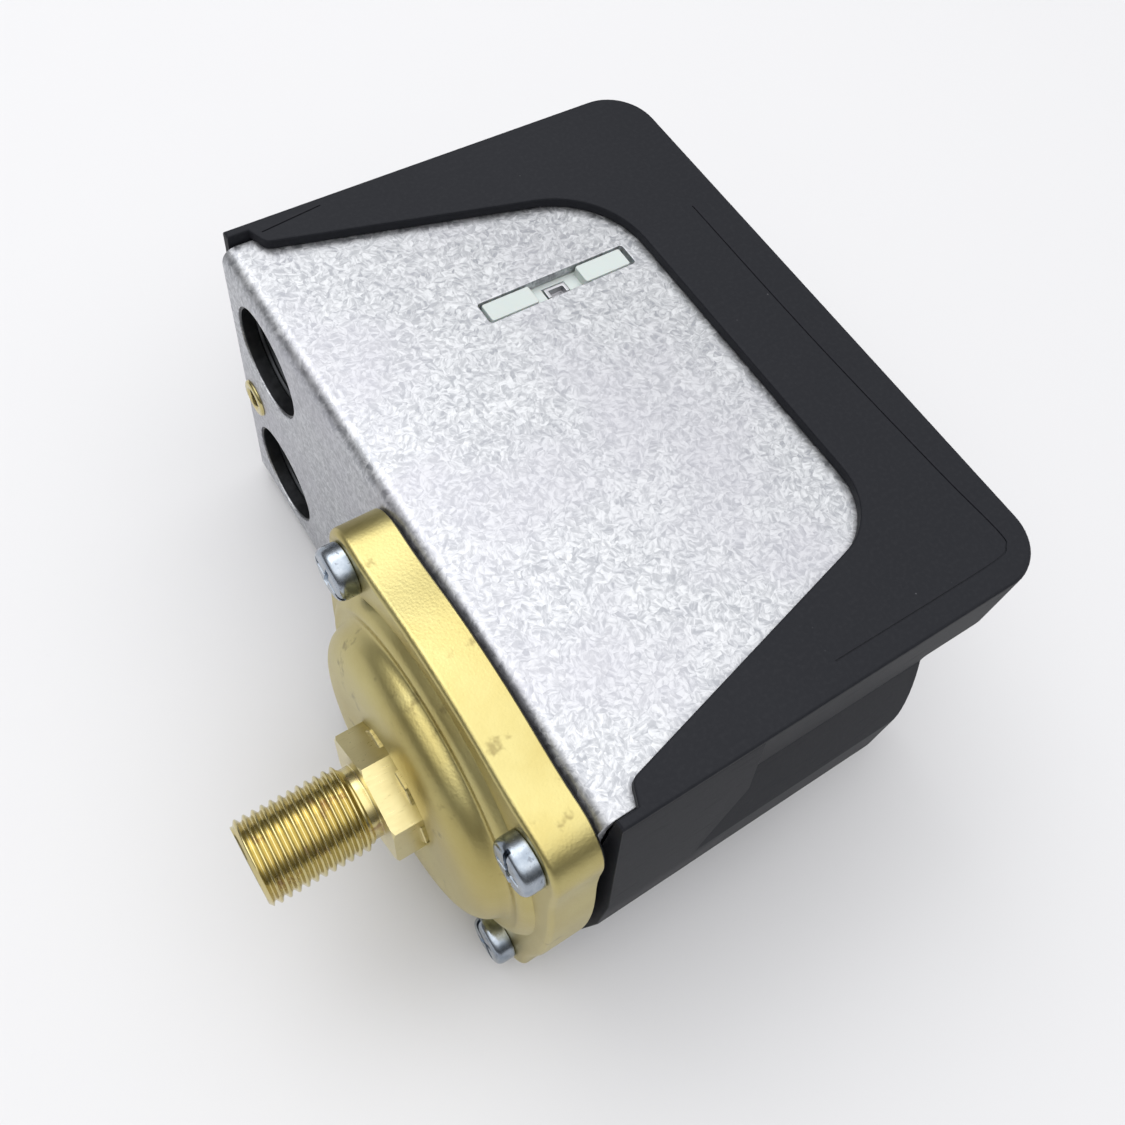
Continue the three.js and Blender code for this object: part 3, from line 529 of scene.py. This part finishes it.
def makeFloorFinish():
    r = Finish("paleFloor", Specular_IOR_Level=0.25)
    cloud = r.noise(9, 4, 0.6)
    mark = r.fade(r.noise(120, 5, 0.75), 0.66, 0.74)
    colour = r.blend(cloud * 0.3, (0.70, 0.70, 0.715), (0.665, 0.665, 0.68))
    colour = r.blend(mark * 0.08, colour, (0.55, 0.55, 0.56))
    return r.done(Base_Color=colour, Roughness=0.55 + cloud * 0.1)


steelFinish = makeGalvanised()
plasticFinish = makePlastic()
castFinish = makeCastBrass()
cutFinish = makeCutBrass()
milledFinish = makeMilledBrass()
zincFinish = makeZinc()
rubberFinish = makeRubber()
whiteFinish = makeWhitePlastic()
springFinish = makeSpringSteel()
copperFinish = makeCopper()
enamelFinish = makeEnamel()
print("finishes made")


def mount(thing, material, part, *nodes, slot=None, angle=32):
    thing.data.materials.clear()
    thing.data.materials.append(material)
    smooth(thing, angle)
    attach(thing, part)
    if nodes:
        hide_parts(*nodes)
    return thing


chassis = {"steel": 1.5, "bend": 2.5, "gap": 0.2, "endGap": 0.3, "length": 72, "slotStart": 28.8,
           "slotLength": 26.6, "slotWidth": 4, "slotY": 75.6, "webHole": 15,
           "planCorner": 8}
port = {"y": 27.65, "pitch": 46, "screwHole": 2.15}
conduit = {"radius": 9.2, "y": 92.2, "offset": 15.8, "ringWall": 1.6, "ringDepth": 4}
earth = {"y": 100.2, "z": 28.7, "hole": 2.45, "top": 8.2}
chassisLow = body["wall"] + chassis["gap"]
chassisHigh = body["width"] - chassisLow
screwSpots = [(port["y"] + i * port["pitch"] / 2, midZ + j * port["pitch"] / 2)
              for i, j in ((1, 1), (-1, 1), (-1, -1), (1, -1))]


# A hole tool that also breaks the edge on the face at height zero.
def holeTool(axis, centre, radius, face, way, edge, depth=6, count=64):
    levels = [(0, face + way * 2), (radius + edge + 2, face + way * 2), (radius + edge, face),
              (radius + edge * 0.3, face - way * edge * 0.3), (radius, face - way * edge),
              (radius, face - way * depth), (0, face - way * depth)]
    return turn("hole", axis, centre, levels, count)


def makeChassis():
    steel, bend = chassis["steel"], chassis["bend"]
    inner = bend - steel
    end = chassis["length"]
    low, high = chassisLow, chassisHigh
    channel = roundOff([[0, low, bend], [end, low, 0], [end, low + steel, 0], [steel, low + steel, inner],
                        [steel, high - steel, inner], [end, high - steel, 0], [end, high, 0],
                        [0, high, bend]], 10)
    inset = body["wall"] + chassis["endGap"]
    thing = stack("chassisSheet", "y", channel, [(inset, 0), (body["depth"] - inset, 0)])
    plan = roundOff([[-1, 0, 0], [end, 0, chassis["planCorner"]],
                     [end, body["depth"], chassis["planCorner"]], [-1, body["depth"], 0]])
    keep = slab("plan", "z", plan, 0, body["width"])
    combine(thing, "INTERSECT", [keep])
    chamfer(thing, 0.22, 2)
    tools = [holeTool("x", (port["y"], midZ), chassis["webHole"], 0, -1, 0.2)]
    for side in (-1, 1):
        centre = (conduit["y"], midZ + side * conduit["offset"])
        tools.append(holeTool("x", centre, conduit["radius"], 0, -1, 0.25))
    tools += [holeTool("x", spot, port["screwHole"], 0, -1, 0.1, count=24) for spot in screwSpots]
    tools.append(holeTool("x", (earth["y"], earth["z"]), earth["hole"], 0, -1, 0.1, count=32))
    half = chassis["slotWidth"] / 2
    start, stop = chassis["slotStart"], chassis["slotStart"] + chassis["slotLength"]
    middle = chassis["slotY"]
    slot = roundOff([[start, middle - half, 0.5], [stop, middle - half, 0.5], [stop, middle + half, 0.5],
                     [start, middle + half, 0.5]], 5)
    tools.append(stack("slot", "z", slot, [(high + 1, -1.0), (high, -0.18), (high - 0.06, -0.06),
                                           (high - 0.18, 0), (high - 4, 0)]))
    cut(thing, *tools)
    return mount(thing, steelFinish, "chassis", "chassis")


makeChassis()
print("chassis made")


cover = {"corner": 8, "edge": 0.7, "cutMouth": 5, "cutStart": 6.3, "cutEnd": 58.5, "startInset": 4.8,
         "frontInset": 18, "backInset": 18.5, "frontRadius": 11, "backRadius": 15, "tip": 1.8,
         "hoodProud": 3.8, "hoodFace": 5.5, "strip": 14, "hoodEnd": 57.3, "split": 23.7, "splitLow": 16.5,
         "notchDepth": 6.8, "notchInset": 13, "screwX": 66, "screwHole": 1.85, "groove": 0.16,
         "grooveWidth": 0.24}


def hoodPiece():
    face, proud = cover["hoodFace"], cover["hoodProud"]
    behind = body["wall"] - 0.2
    slope = midZ - cover["edge"]
    facet = [(behind, midZ + slope), (0, midZ + slope), (-proud, midZ + face), (-proud, midZ - face),
             (0, midZ - slope), (behind, midZ - slope)]
    near = slab("hoodNear", "x", facet, body["mouth"], cover["split"])
    strip = midZ - cover["strip"]
    for side in (-1, 1):
        wedge = [(cover["splitLow"], midZ + side * face), (cover["split"], midZ + side * strip),
                 (cover["split"], midZ + side * (midZ + 1)), (cover["split"] + 1, midZ + side * (midZ + 1)),
                 (cover["split"] + 1, midZ + side * face)]
        cut(near, slab("wedge", "y", wedge, -proud - 1, body["wall"]))
    channel = [(behind, midZ + strip), (0, midZ + strip), (-proud, midZ + face), (-proud, midZ - face),
               (0, midZ - strip), (behind, midZ - strip)]
    far = slab("hoodFar", "x", channel, cover["splitLow"] - 1, cover["hoodEnd"])
    add(near, far)
    # the far end of the hood is rolled over
    end = cover["hoodEnd"]
    roll = roundOff([[end - 9, -proud - 2, 0], [end + 2, -proud - 2, 0], [end + 2, 0.4, 0], [end, 0.4, 0],
                     [end, -proud, 3.4], [end - 9, -proud, 0]], 8)
    cut(near, slab("roll", "z", roll, -1, body["width"] + 1))
    return chamfer(near, 0.3, 2, 18)


def cutOutline():
    back = body["depth"]
    wall = body["wall"]
    return roundOff([[-1, wall, 0], [cover["cutMouth"], wall, 0],
                     [cover["cutStart"], cover["startInset"], cover["tip"]],
                     [cover["cutEnd"], cover["frontInset"], cover["frontRadius"]],
                     [cover["cutEnd"], back - cover["backInset"], cover["backRadius"]],
                     [cover["cutStart"], back - cover["startInset"], cover["tip"]],
                     [cover["cutMouth"], back - wall, 0], [-1, back - wall, 0]], 12)


# A thin line pressed into a side panel along a path.
def pressLine(path, face, way, width, depth):
    sides = []
    for index, spot in enumerate(path):
        ahead = Vector(path[min(index + 1, len(path) - 1)]) - Vector(path[max(index - 1, 0)])
        ahead.normalize()
        sides.append((Vector(spot), Vector((-ahead.y, ahead.x)) * width / 2))
    outline = [tuple(p + n) for p, n in sides] + [tuple(p - n) for p, n in reversed(sides)]
    return slab("line", "z", outline, min(face - way * depth, face + way), max(face - way * depth, face + way))


def makeCover():
    wall, depth, width = body["wall"], body["depth"], body["width"]
    top, mouth = body["top"], body["mouth"]
    corner = cover["corner"]
    shell = roundOff([[mouth, 0, 0], [top, 0, corner], [top, depth, corner], [mouth, depth, 0]], 14)
    thing = slab("coverShell", "z", shell, 0, width, cover["edge"])
    add(thing, hoodPiece())
    proud = cover["hoodProud"]
    low, high = cover["notchInset"], width - cover["notchInset"]
    notch = brick("notch", (cover["hoodEnd"], top + 1), (-proud - 1, cover["notchDepth"]), (low, high), 0.6)
    cut(thing, notch)
    roof = top - wall
    inner = corner - wall
    inside = roundOff([[-5, wall, 0], [roof, wall, inner], [roof, depth - wall, inner],
                       [-5, depth - wall, 0]], 10)
    hollow = slab("hollow", "z", inside, wall, width - wall)
    pocket = cover["notchDepth"] + wall
    cut(hollow, brick("kept", (cover["hoodEnd"] - wall, top + 1), (0, pocket), (low - wall, high + wall)))
    cut(thing, hollow)
    cut(thing, brick("hoodHollow", (mouth + 2, cover["hoodEnd"] - wall - 2.4), (-1.8, wall + 0.1),
                     (midZ - cover["hoodFace"], midZ + cover["hoodFace"])))
    outline = cutOutline()
    eased = [(-1, -0.6), (0, -0.25), (0.08, -0.1), (0.25, 0)]
    eased += [(width - height, inset) for height, inset in reversed(eased)]
    cut(thing, stack("panelCut", "z", outline, eased))
    cut(thing, peg("screwHole", "y", (cover["screwX"], midZ), cover["screwHole"], cover["notchDepth"] - 1,
                   pocket + 1, 24))
    line = cover["groove"]
    front = flow([(38, 3.9), (60, 3.9), (68.4, 4.1), (70.6, 5.0), (71.4, 7.4), (70.6, 20),
                  (69.6, 48), (69.4, 78)], 5)
    back = [(6.6, depth - 2.9), (16.8, depth - 1.8)]
    for path in (front, back):
        cut(thing, pressLine(path, width, 1, cover["grooveWidth"], line))
        cut(thing, pressLine(path, 0, -1, cover["grooveWidth"], line))
    return mount(thing, plasticFinish, "cover", "cover", angle=28)


makeCover()
print("cover made")


housing = {"half": 28.95, "corner": 7, "bulge": 2, "thick": 7.2, "film": 0.4, "dome": 23.6, "rise": 6.5,
           "hexFlats": 17.4, "hexTurn": 24, "hexRise": 10.6, "neck": 5.6, "neckLength": 1.5, "major": 13.157,
           "minor": 11.75, "threadPitch": 1.337, "length": 16.4, "bore": 3, "edge": 0.9, "rim": 3.8,
           "chamber": 20.5, "chamberDepth": 4.2}


def flangeOutline(inset):
    half = housing["half"] - inset
    side = [[-half, half, housing["corner"]]]
    swell = [0, 0.10, 0.30, 0.55, 0.76, 0.90, 0.97, 1]
    swell += swell[-2::-1]
    for index, share in enumerate(swell):
        side.append([half * 0.66 * (index / 7 - 1), half + housing["bulge"] * share, 0])
    corners = []
    for quarter in range(4):
        angle = -quarter * tau / 4
        corners += [[port["y"] + u * math.cos(angle) - v * math.sin(angle),
                     midZ + u * math.sin(angle) + v * math.cos(angle), radius] for u, v, radius in side]
    return roundOff(corners, 12)


def makeHousing():
    back = -housing["film"]
    front = back - housing["thick"]
    edge = housing["edge"]
    thing = stack("housingCasting", "x", flangeOutline(0),
                  [(back, 0.15), (back - 0.15, 0)]
                  + [(front + edge * (1 - math.sin(a * tau / 24)), edge * (1 - math.cos(a * tau / 24)))
                     for a in range(7)])
    dome = housing["dome"]
    rim = dome + housing["rim"]
    top = front - housing["rise"]
    crown = [(rim + 0.8, front + 0.3), (rim + 0.3, front - 0.35), (rim - 0.4, front - 1.1),
             (rim - 1.3, front - 1.55), (rim - 2.2, front - 1.45), (dome + 0.75, front - 1.5),
             (dome + 0.3, front - 2.1), (dome - 0.1, top + 3.4),
             (dome - 0.8, top + 2.3), (dome - 2.2, top + 1.2), (dome - 4.2, top + 0.45), (dome - 7, top + 0.05),
             (dome - 9.5, top), (dome - 12, top + 0.2), (dome - 14, top + 0.55), (dome - 15.2, top + 0.8)]
    profile = [(0, back - 1), (rim + 0.8, back - 1)] + flow(crown, 4) + [(0, top + 0.8)]
    add(thing, turn("crown", "x", (port["y"], midZ), profile, 128))
    tools = []
    for y, z in screwSpots:
        pocket = [(0, front - 6), (4.9, front - 6), (4.75, front - 1.2), (4.45, front - 0.35),
                  (4.2, front + 0.02), (0, front + 0.02)]
        tools.append(turn("pocket", "x", (y, z), pocket, 40))
        tools.append(peg("hole", "x", (y, z), port["screwHole"], front - 3, back + 1, 24))
    wide, deep = housing["chamber"], back - housing["chamberDepth"]
    cavity = [(0, back + 1), (wide, back + 1), (wide, deep + 1), (wide - 1, deep), (0, deep)]
    tools.append(turn("cavity", "x", (port["y"], midZ), cavity, 72))
    tools.append(peg("bore", "x", (port["y"], midZ), housing["bore"], front - 12, back, 40))
    cut(thing, *tools)
    return mount(thing, castFinish, "chassis", "diaphragm_housing", angle=40)


def makeHexagon():
    front = -housing["film"] - housing["thick"]
    corner = housing["hexFlats"] / math.sqrt(3)
    points = [(port["y"] + corner * math.cos(math.radians(housing["hexTurn"] + 60 * i)),
               midZ + corner * math.sin(math.radians(housing["hexTurn"] + 60 * i))) for i in range(6)]
    face = front - housing["hexRise"]
    foot = front - housing["rise"] + 1.2
    thing = slab("portHexagon", "x", points, face, foot)
    # the corners are turned down a little at the outer face
    cone = [(0, face - 0.01), (corner - 0.5, face - 0.01), (corner + 0.2, face + 0.4),
            (corner + 0.2, foot + 1), (0, foot + 1)]
    combine(thing, "INTERSECT", [turn("cone", "x", (port["y"], midZ), cone, 96)])
    # a fine burr is left round the foot of the hexagon
    burr = []
    count = 180
    for index in range(count):
        angle = tau * index / count
        flat = (math.degrees(angle) - housing["hexTurn"] + 30) % 60 - 30
        edge = housing["hexFlats"] / 2 / math.cos(math.radians(flat))
        out = edge + 0.16 + 0.05 * math.sin(index * 2.399)
        burr.append((port["y"] + out * math.cos(angle), midZ + out * math.sin(angle)))
    skirt = stack("runs", "x", burr, [(foot - 1.3, 0.1), (foot - 1.15, 0), (foot - 0.3, 0)])
    add(thing, skirt)
    cut(thing, peg("bore", "x", (port["y"], midZ), housing["bore"], face - 2, foot + 2, 40))
    return mount(thing, milledFinish, "chassis", angle=30)


# Outer radius of the threaded port at a distance along it and an angle round it.
def threadRadius(along, angle):
    crest, root = housing["major"] / 2, housing["minor"] / 2
    pitch = housing["threadPitch"]
    start, end = housing["neckLength"], housing["neckLength"] + housing["length"]
    share = ((along - start) / pitch - angle / tau) % 1
    wave = min(1, max(0, (0.5 - abs(share - 0.5)) * 2.3 - 0.06))
    wave = wave * wave * (3 - 2 * wave)
    tall = root + (crest - root) * wave
    runIn = min(1, max(0, (along - start + 0.1) / 0.9))
    radius = housing["neck"] + (tall - housing["neck"]) * runIn
    chamferLine = crest - 0.75 + (end - along) * 1.3
    return min(radius, chamferLine)


def makeSpigot():
    front = -housing["film"] - housing["thick"] - housing["hexRise"]
    length = housing["neckLength"] + housing["length"]
    count = 96
    rows = 190
    points, faces = [], []
    shoulder = 0.8
    for row in range(rows + 1):
        along = -shoulder + (length + shoulder) * row / rows
        for step in range(count):
            angle = tau * step / count
            radius = threadRadius(along, angle) if along > 0 else housing["neck"] + 0.1
            points.append((front - along, port["y"] + radius * math.cos(angle),
                           midZ + radius * math.sin(angle)))
    last = rows
    for radius, along in ((housing["bore"] + 0.45, length), (housing["bore"], length - 0.45),
                          (housing["bore"], -shoulder)):
        last += 1
        for step in range(count):
            angle = tau * step / count
            points.append((front - along, port["y"] + radius * math.cos(angle),
                           midZ + radius * math.sin(angle)))
    for row in range(last + 1):
        following = (row + 1) % (last + 1)
        for step in range(count):
            after = (step + 1) % count
            faces.append([row * count + step, row * count + after, following * count + after,
                          following * count + step])
    thing = makePiece("portThread", points, faces)
    return mount(thing, cutFinish, "chassis", angle=50)


def makeFilm():
    outline = flangeOutline(0.5)
    thing = slab("diaphragmSheet", "x", outline, -housing["film"], 0, 0.12)
    cut(thing, *[peg("hole", "x", spot, port["screwHole"], -2, 1, 24) for spot in screwSpots])
    return mount(thing, rubberFinish, "chassis", "diaphragm")


makeHousing()
makeHexagon()
makeSpigot()
makeFilm()
print("housing made")


screws = {"head": 4, "rise": 3.2, "shank": 2, "reach": 3.5, "cross": 0.95, "turns": (12, 71, 38, 55)}


# A driver cross with tapered arms and a slot across it, turned by an angle.
def crossTool(name, axis, centre, face, way, size, depth, angle):
    tools = []
    half = screws["cross"] / 2
    for extra in (0, 90):
        swing = math.radians(angle + extra)
        arm = [(-size / 2, -half), (size / 2, -half), (size / 2, half), (-size / 2, half)]
        outline = [(centre[0] + u * math.cos(swing) - v * math.sin(swing),
                    centre[1] + u * math.sin(swing) + v * math.cos(swing)) for u, v in arm]
        levels = sorted([(face - way * 0.5, -0.05), (face, -0.03), (face + way * depth, 0.22)])
        tools.append(stack(name, axis, outline, levels))
    swing = math.radians(angle)
    arm = [(-6, -0.4), (6, -0.4), (6, 0.4), (-6, 0.4)]
    outline = [(centre[0] + u * math.cos(swing) - v * math.sin(swing),
                centre[1] + u * math.sin(swing) + v * math.cos(swing)) for u, v in arm]
    levels = sorted([(face - way * 0.5, 0), (face + way * 0.85, 0)])
    tools.append(stack(name, axis, outline, levels))
    return tools


def makeFlangeScrew(index, centre):
    seat = -housing["film"] - housing["thick"]
    face = seat - screws["rise"]
    head = screws["head"]
    profile = [(0, face)] + flow([(head - 1.3, face), (head - 0.75, face + 0.08), (head - 0.3, face + 0.35),
                                  (head - 0.06, face + 0.85), (head, face + 1.4)], 4)
    profile += [(head, seat - 0.15), (head - 0.15, seat), (screws["shank"], seat)]
    along = seat
    while along < screws["reach"] - 0.8:
        profile += [(screws["shank"], along + 0.12), (screws["shank"] - 0.28, along + 0.35),
                    (screws["shank"], along + 0.58)]
        along += 0.7
    profile += [(screws["shank"] - 0.35, screws["reach"]), (0, screws["reach"])]
    thing = turn(f"flangeScrew{index}", "x", centre, profile, 56)
    cut(thing, *crossTool("cross", "x", centre, face, 1, 4.8, 1.5, screws["turns"][index - 1]))
    return mount(thing, zincFinish, "chassis", f"flange_screw_{index}", angle=35)


for number, spot in enumerate(screwSpots, 1):
    makeFlangeScrew(number, spot)


def makeCoverScrew():
    face = cover["notchDepth"] - 2.6
    profile = [(0, face)] + flow([(2.7, face), (3.2, face + 0.15), (3.5, face + 0.6), (3.6, face + 1.2)], 4)
    profile += [(3.6, face + 2.45), (3.45, face + 2.6), (1.7, face + 2.6)]
    along = face + 2.6
    while along < 15.4:
        profile += [(1.7, along + 0.12), (1.45, along + 0.33), (1.7, along + 0.54)]
        along += 0.66
    profile += [(1.2, 16.2), (0, 16.2)]
    thing = turn("coverScrewBody", "y", (cover["screwX"], midZ), profile, 48)
    cut(thing, *crossTool("cross", "y", (cover["screwX"], midZ), face, 1, 4.2, 1.3, 20))
    return mount(thing, zincFinish, "cover_screw", "cover_screw", angle=35)


makeCoverScrew()
print("screws made")


def makeConduitRing(index, side, material):
    z = midZ + side * conduit["offset"]
    steel = chassis["steel"]
    inner = conduit["radius"] - 0.3
    outer = conduit["radius"] + conduit["ringWall"]
    end = steel + conduit["ringDepth"]
    # painted shade: a thin tube of the near-black ring finish lines the chassis hole wall so the conduit hole
    # reads dark
    shadeLining = conduit["radius"] - 0.05
    profile = [(shadeLining, 0.3), (shadeLining, steel + 0.02), (outer - 0.1, steel + 0.02), (outer, steel + 0.15),
               (outer, end - 0.25), (outer - 0.25, end), (inner + 0.2, end), (inner, end - 0.2)]
    along = end - 0.2
    while along > steel + 1.2:
        profile += [(inner + 0.02, along - 0.1), (inner + 0.22, along - 0.35), (inner, along - 0.6)]
        along -= 0.75
    profile += [(inner, steel + 0.5), (inner, 0.4), (inner + 0.1, 0.3)]
    thing = turn(f"conduitRing{index}", "x", (conduit["y"], z), profile, 96)
    return mount(thing, material, "chassis", f"conduit_ring_{index}", slot="zinc_plated", angle=40)


# painted shade: the zinc-plated conduit rings get a near-black finish so the holes read dark; only reflected
# highlights stay bright
def makeRingShadeFinish():
    r = Finish("ringPaintedShade", Metallic=0.8)
    fine = r.noise(900, 3, 0.6)
    colour = r.blend(fine, (0.025, 0.027, 0.03), (0.07, 0.072, 0.078))
    return r.done(Base_Color=colour, Roughness=0.26 + fine * 0.2, Normal=r.bump(fine, 0.2, 0.04))


ringShadeFinish = makeRingShadeFinish()
makeConduitRing(1, 1, ringShadeFinish)
makeConduitRing(2, -1, ringShadeFinish)


def makeEarth():
    spot = (earth["y"], earth["z"])
    profile = flow([(1.7, 6), (2.4, 6), (2.4, 0.05)], 1)
    profile += [(3.2, 0.05), (3.3, -0.12), (3.18, -0.42), (2.9, -0.58), (2.2, -0.6),
                (1.95, -0.5), (1.72, -0.25)]
    nut = turn("earthRivetNut", "x", spot, profile, 48)
    mount(nut, cutFinish, "chassis", "earth_nut", slot="nut_brass", angle=40)
    top = earth["top"]
    profile = [(0, 1), (1.4, 1), (1.6, 1.2), (1.6, 6), (3.3, 6), (3.3, top - 0.5), (3.1, top - 0.15),
               (2.7, top), (0, top)]
    screw = turn("earthScrewBody", "x", spot, profile, 40)
    cut(screw, *crossTool("cross", "x", spot, top, -1, 4.2, 1.1, 33))
    mount(screw, zincFinish, "chassis", "earth_screw", angle=35)


makeEarth()
print("end face made")


contacts = {"low": 28, "high": 42, "top": 56.4, "back": 98, "front": 65, "cheek": 4, "pad": 8.4, "rise": 1.4,
            "clipHalf": 1.9, "sink": 1.4, "y": 74, "poles": 3, "stem": 10, "stemThick": 4}
contacts["pitch"] = (body["width"] - 16.4) / (2 * contacts["poles"])
contacts["bridgeY"] = contacts["y"] + contacts["stemThick"] / 2 + 2.9


def stripZ(index):
    return midZ + (index - (2 * contacts["poles"] - 1) / 2) * contacts["pitch"]


def makeContactBase():
    low = chassisLow + chassis["steel"] + 0.3
    high = body["width"] - low
    y = (contacts["front"], contacts["back"])
    thing = brick("contactBaseMoulding", (contacts["low"], contacts["high"]), y, (low, high))
    for z in ((low, low + contacts["cheek"]), (high - contacts["cheek"], high)):
        add(thing, brick("cheek", (contacts["low"], contacts["top"]), y, z))
    middle = chassis["slotY"]
    edge = chassis["slotWidth"] / 2 - 0.25
    padTop = high + 0.3 + contacts["rise"]
    start = chassis["slotStart"] + 0.5
    stop = chassis["slotStart"] + chassis["slotLength"] - 0.7
    clip = (start + stop) / 2
    half = contacts["clipHalf"] + 0.2
    cut(thing, brick("clipPocket", (clip - half, clip + half), (middle - 1.2, middle + 1.2),
                     (high - contacts["sink"], high + 1)))
    stem = contacts["stem"] / 2 + 0.4
    thick = contacts["stemThick"] / 2 + 0.4
    cut(thing, brick("stemHole", (contacts["low"] - 1, contacts["high"] + 1), (contacts["y"] - thick,
                     contacts["y"] + thick), (midZ - stem, midZ + stem)))
    rear = contacts["back"] - 7
    holes = [peg("hole", "x", (rear, stripZ(i)), 1.55, contacts["high"] - 6, contacts["high"] + 1, 20)
             for i in range(2 * contacts["poles"])]
    cut(thing, *holes)
    for x in ((start, start + contacts["pad"]), (stop - contacts["pad"], stop)):
        outline = roundOff([[x[0], middle - edge, 0.4], [x[1], middle - edge, 0.4],
                            [x[1], middle + edge, 0.4], [x[0], middle + edge, 0.4]], 4)
        levels = [(high - 1, 0), (padTop - 0.3, 0), (padTop - 0.1, 0.08), (padTop, 0.3)]
        pad = stack("pad", "z", outline, levels)
        add(thing, pad)
    return mount(thing, whiteFinish, "chassis", "contact_base")


def makeContactClip():
    high = body["width"] - body["wall"] - chassis["gap"] - chassis["steel"] - 0.3
    middle = chassis["slotStart"] + (chassis["slotLength"] - 0.2) / 2
    half = contacts["clipHalf"]
    y = chassis["slotY"]
    thing = brick("contactClipStrip", (middle - half, middle + half), (y - 0.9, y + 0.9),
                  (high - contacts["sink"] + 0.05, high + 0.3))
    cut(thing, brick("inside", (middle - half + 0.6, middle + half - 0.6), (y - 2, y + 0.35),
                     (high - contacts["sink"] + 0.5, high + 1)))
    chamfer(thing, 0.12)
    return mount(thing, springFinish, "chassis", "contact_clip")


makeContactBase()
makeContactClip()
print("contact base made")


springs = {"range": {"y": 27.65, "coil": 7.7, "wire": 1.3, "turns": 7, "start": 14.6, "length": 32},
           "differential": {"y": 50, "coil": 4.6, "wire": 0.7, "turns": 9, "start": 15.8, "length": 26.8}}


def makeSpring(name, nut):
    s = springs[name]
    steps = 40
    ends = 1.1  # turns that lie nearly flat at each end
    low = s["start"] + s["wire"]
    high = s["start"] + s["length"] - s["wire"]
    dead = ends * s["wire"] * 2.06
    path = []
    for step in range(int(s["turns"] * steps) + 1):
        turns = step / steps
        angle = tau * turns
        if turns < ends:
            x = low + dead * turns / ends
        elif turns > s["turns"] - ends:
            x = high - dead * (s["turns"] - turns) / ends
        else:
            x = low + dead + (high - low - 2 * dead) * (turns - ends) / (s["turns"] - 2 * ends)
        path.append((x, s["y"] + s["coil"] * math.cos(angle), midZ + s["coil"] * math.sin(angle)))
    thing = wire(f"{name}SpringWire", path, s["wire"], 14)
    return mount(thing, springFinish, nut, f"{name}_spring", angle=45)


makeSpring("range", "range_nut")
makeSpring("differential", "differential_nut")
print("springs made")


kept = {steelFinish: ["pivot_bracket", "main_lever", "spring_yoke"],
        zincFinish: ["thrust_plate", "range_nut", "range_screw", "differential_nut", "differential_screw"]
        + [f"terminal_screw_{i}" for i in range(1, 7)],
        springFinish: ["pivot_pin"], enamelFinish: ["scale_plate"], whiteFinish: ["contact_carrier"],
        copperFinish: [f"contact_bridge_{i}" for i in range(1, 4)] + [f"terminal_{i}" for i in range(1, 7)]}
for material, names in kept.items():
    for name in names:
        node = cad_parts[name]
        for holder in node.material_slots:
            holder.material = material


room = {"size": 3.0, "strength": 2.0, "wall": (0.86, 0.86, 0.88),
        "sky": ((0.0, 0.06), (0.3, 0.07), (0.6, 0.24), (0.78, 0.92), (1.0, 1.08))}


def makeFloor():
    half = room["size"]
    points = [(x * half, y * half, 0) for x, y in ((-1, -1), (1, -1), (1, 1), (-1, 1))]
    mesh = bpy.data.meshes.new("floorSheet")
    mesh.from_pydata(points, [], [(0, 1, 2, 3)])
    floor = bpy.data.objects.new("floorSheet", mesh)
    floor.location.z = cadBox[0].z
    bpy.context.scene.collection.objects.link(floor)
    mesh.materials.append(makeFloorFinish())


def makeSky():
    world = bpy.data.worlds.new("studio")
    bpy.context.scene.world = world
    bpy.context.scene.view_settings.view_transform = "Standard"
    r = Recipe(world, "Generated")
    tone = r.ramp(r.axis("Z"), *room["sky"])
    glow = r.node("ShaderNodeBackground", {}, {"Color": tone, "Strength": room["strength"]})
    wall = r.node("ShaderNodeBackground", {}, {"Color": room["wall"], "Strength": 1.0})
    seen = r.node("ShaderNodeLightPath", {}, {}, "Is Camera Ray")
    both = r.node("ShaderNodeMixShader", {}, {0: seen, 1: glow, 2: wall})
    r.node("ShaderNodeOutputWorld", {}, {"Surface": both}, None)


def makeLight(name, spot, aim, size, power):
    lamp = bpy.data.lights.new(name, "AREA")
    lamp.shape = "RECTANGLE"
    lamp.size, lamp.size_y = size
    lamp.energy = power
    thing = bpy.data.objects.new(name, lamp)
    thing.location = spot
    thing.rotation_euler = (Vector(aim) - Vector(spot)).to_track_quat("-Z", "Y").to_euler()
    bpy.context.scene.collection.objects.link(thing)


def makeCamera():
    view = {"place": (-37.09, -18.28, 191.67), "aim": (27.56, 45.97, 31), "roll": 13.65, "lens": 36.46}
    lens = bpy.data.cameras.new("viewCamera")
    lens.lens = view["lens"]
    lens.sensor_width = 36
    lens.clip_start = 0.01
    camera = bpy.data.objects.new("viewCamera", lens)
    camera.location = place(view["place"])
    look = (place(view["aim"]) - camera.location).to_track_quat("-Z", "Y")
    camera.rotation_mode = "QUATERNION"
    camera.rotation_quaternion = look @ Quaternion((0, 0, 1), math.radians(view["roll"]))
    bpy.context.scene.collection.objects.link(camera)
    bpy.context.scene.camera = camera


makeFloor()
makeSky()
makeLight("overhead", (-0.1, 0.5, 0.8), (0.01, 0, 0.03), (0.6, 0.5), 1.6)
makeCamera()
print("room made")
